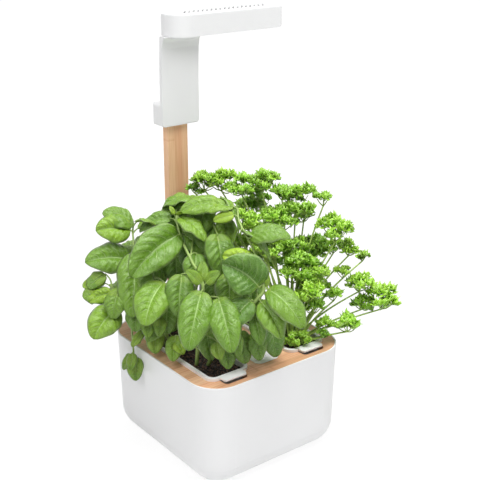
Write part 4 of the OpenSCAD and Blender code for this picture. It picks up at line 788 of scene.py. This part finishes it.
def leaflet_fans(base, ahead, face, size, seed, curl=1.0, rows=4, columns=9):
    """Many leaflets at once. Each is a fan of three lobes that opens up to 170 degrees around its
    direction: its rim is far at the middle of a lobe and near between two, and is toothed by every
    second column. It is ruffled up and down more and more towards the rim."""
    draw = np.random.default_rng(seed)
    count = len(base)
    t = np.linspace(0, 1, rows)[None, :, None]
    v = np.linspace(-1, 1, columns)[None, None]
    step = np.arange(columns)[None, None]
    open_by = np.radians(draw.uniform(55, 85, count))[:, None, None]
    phase = draw.uniform(0, 2 * np.pi, count)[:, None, None]
    lobes = 1 + 0.24 * t ** 2 * np.cos(3 * np.pi * v)
    teeth = 1 + np.where(step % 2 == 0, 0.1, -0.1) * t ** 3 * np.where(np.abs(v) > 0.99, 0, 1)
    reach = (0.08 + 0.92 * t) * lobes * teeth * (1 - 0.25 * np.abs(v) ** 3)
    forward = reach * np.cos(open_by * v)
    sideways = reach * np.sin(open_by * v)
    depth = curl * 0.26 * t ** 1.3
    ruffle = (depth * np.sin(2.1 * np.pi * v + phase)
              * draw.uniform(0.6, 1.2, count)[:, None, None])
    ruffle = ruffle + np.where(step % 2 == 0, 0.08, -0.08) * t ** 2 + 0.25 * t * t * np.abs(v)
    side = np.cross(ahead, face)
    place = (ahead[:, None, None] * forward[..., None] + side[:, None, None] * sideways[..., None]
             + face[:, None, None] * ruffle[..., None])
    thin = 0.03 * face[:, None, None]
    size = size[:, None, None, None]
    upper = base[:, None, None] + (place + thin) * size
    lower = (base[:, None, None] + (place - thin) * size)[:, 1:-1, 1:-1]
    points = np.concatenate([upper.reshape(count, -1, 3), lower.reshape(count, -1, 3)], 1)
    tip = np.broadcast_to(t, (count, rows, columns))
    along = np.concatenate([tip.reshape(count, -1), tip[:, 1:-1, 1:-1].reshape(count, -1)], 1)
    faces, _ = sheet_faces(rows, columns)
    faces = faces[None] + points.shape[1] * np.arange(count)[:, None, None]
    return points.reshape(-1, 3), faces.reshape(-1, 3), along.ravel()


def crown_places(top, radius, seed, count):
    """Where a crown's leaflets are. The stalk forks into six twigs, or four in a small crown, one
    upright and the others around it. Each twig ends in a small dome of leaflets, spread by the
    golden angle, that lean outwards from the twig's end."""
    draw = np.random.default_rng(seed)
    groups = 6 if radius > 15 else 4
    turn = 2 * np.pi * np.arange(groups) / (groups - 1) + seed
    apart = radius * draw.uniform(0.5, 0.72, groups) * (np.arange(groups) > 0)
    up = radius * (0.16 + draw.uniform(-0.75, 0.1, groups) * (np.arange(groups) > 0))
    twig = np.stack([apart * np.cos(turn), apart * np.sin(turn), up], -1)
    n = np.arange(count)
    own = n % groups
    ring = np.sqrt((n // groups + 0.5) / (count // groups + 1))
    turn = n * GOLDEN_ANGLE + draw.uniform(-0.35, 0.35, count)
    out = 0.4 * radius * ring
    base = twig[own] + np.stack([out * np.cos(turn), out * np.sin(turn), radius * (
        0.1 - 0.28 * ring ** 2 + draw.uniform(-0.09, 0.07, count))], -1)
    hub = twig - np.array([0, 0, 0.34 * radius])
    ahead = base - hub[own] + draw.normal(0, 0.12 * radius, (count, 3))
    ahead /= np.linalg.norm(ahead, axis=1, keepdims=True)
    spread = draw.normal(0, 0.7, (count, 3)) + np.array([0, 0, 1.3])
    face = spread - ahead * (spread * ahead).sum(1, keepdims=True)
    face /= np.linalg.norm(face, axis=1, keepdims=True)
    fork = np.array([0, 0, -0.95 * radius])
    return (base + top, ahead, face, fork + top, hub + top, own,
            draw.uniform(4.5, 7.5, count) + 0.08 * radius)


parsley_leaf = leaf_green("parsley leaf", (0.065, 0.22, 0.001), (0.36, 0.66, 0.06),
                          (0.46, 0.7, 0.06), (0.3, 0.5, 0.1), 0.0, 0.25, 0.0, 0.5, 0.25)
stalks = []
for tier, tall in (("upper", True), ("lower", False)):
    parts, brights, youngs = [], [], []
    for n, (foot_x, foot_y, x, y, z, radius) in enumerate(STALKS):
        if (z > UPPER_CROWNS) != tall:
            continue
        top = np.array([x, y, z - 0.2 * radius])
        # the lowest, oldest leaves are fewer, larger and flatter
        old = OLD_LOW < z < OLD_HIGH and radius > OLD_RADIUS
        density, larger, curl = (0.08, 1.3, 0.55) if old else (0.14, 1.0, 1.0)
        base, ahead, face, fork, hub, own, size = crown_places(
            top, radius, n, int(density * radius ** 2) + 10)
        size = size * larger
        points, faces, along = leaflet_fans(base - ahead * size[:, None] * 0.5, ahead, face, size,
                                            200 + n, curl)
        parts.append((points, faces))
        lively = np.random.default_rng(300 + n).uniform(0.35, 0.75)
        each = np.repeat(np.random.default_rng(400 + n).uniform(-0.3, 0.3, len(base)),
                         len(points) // len(base))
        brights.append(lively + each + 0.25 * along)
        youngs.append(np.full(len(points), np.random.default_rng(500 + n).uniform(0.0, 0.4)))
        # the stalk: rises steeply and then leans out, with three ridges
        t = np.linspace(0, 1, 14)[:, None]
        line = np.concatenate([foot_x + (x - foot_x) * t ** 1.5, foot_y + (y - foot_y) * t ** 1.5,
                               SOIL_Z + (fork[2] - SOIL_Z) * t ** 0.85], 1)
        line[-1] = fork
        stalks.append(tube(line, np.linspace(*STALK_RADII, 14), 6, 0, 3))
        for twig_end in hub:
            middle = (fork + twig_end) / 2 + np.array([0, 0, -0.08]) * radius
            stalks.append(tube(smooth_path([fork, middle, twig_end], 2),
                               np.linspace(*TWIG_RADII, 5), 4))
        for p, d, s, twig_end in zip(base[::2], ahead[::2], size[::2], hub[own[::2]]):
            stalks.append(tube(np.linspace(twig_end, p - d * s * 0.35, 3),
                               np.linspace(*LEAFLET_RADII, 3), 3))
    points, faces = gather(parts)
    tier_leaves = mesh_piece("parsley_" + tier + "_leaves", points, faces, [parsley_leaf],
                             "right_pot")
    mark(tier_leaves, bright=np.concatenate(brights), young=np.concatenate(youngs))
    if tall:
        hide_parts("parsley")
points, faces = gather(stalks)
mesh_piece("parsley_stalks", points, faces,
           [stem_green("parsley stalk", (0.22, 0.4, 0.04), (0.5, 0.64, 0.16))],
           "right_pot")

# ------------------------------------------------------------------ lamp
# The arm, the collar's rear half and the lamp's two shells are the same white plastic as the
# casing. The window under the lamp is a frosted sheet, and over it lie the diodes on their white
# board.
dress(shell_white, "lamp_arm", "collar_cover", "head_shell", "head_tray")
dress(moulded_plastic("board white", (0.8, 0.8, 0.78), 0.3, 0.5), "led_board")
dress(moulded_plastic("diode yellow", (0.85, 0.65, 0.2), 0.2, 0.3), "leds")
dress(moulded_plastic("diffuser white", (0.85, 0.86, 0.86), 0.45, 0.6, 0.2, 600.0), "diffuser")

# ------------------------------------------------------------------ dust screen under the vents
# A thin grey polyester sheet, pressed into fine waves, lies under the ventilation slots, so that
# dust stays out of the lamp. It is glued by its crests to the underside of the shell's roof.
SCREEN_START, SCREEN_END_GAP, SCREEN_HALF, SCREEN_DROP = -6, 5.4, 12.9, 2.45
WAVE_LENGTH, WAVE_HEIGHT, SCREEN_THICK = 5, 0.22, 0.25
head_low, head_high = (np.array(corner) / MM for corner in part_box("head_shell"))
u, v = np.meshgrid(np.linspace(SCREEN_START, head_high[0] - SCREEN_END_GAP, 130),
                   np.linspace(-SCREEN_HALF, SCREEN_HALF, 9), indexing="ij")
# height: a sine wave along the head; the underside is the same sheet a little lower
wave = WAVE_HEIGHT * np.sin(2 * np.pi * u / WAVE_LENGTH)
upper = np.stack([u, (head_low[1] + head_high[1]) / 2 - v, head_high[2] - SCREEN_DROP + wave], -1)
lower = (upper - [0, 0, SCREEN_THICK])[1:-1, 1:-1]
faces, _ = sheet_faces(130, 9)
mesh_piece("dust_screen", np.concatenate([upper.reshape(-1, 3), lower.reshape(-1, 3)]), faces,
           [felt("screen polyester", (0.5, 0.5, 0.5), (0.36, 0.36, 0.36))], "lamp_head")
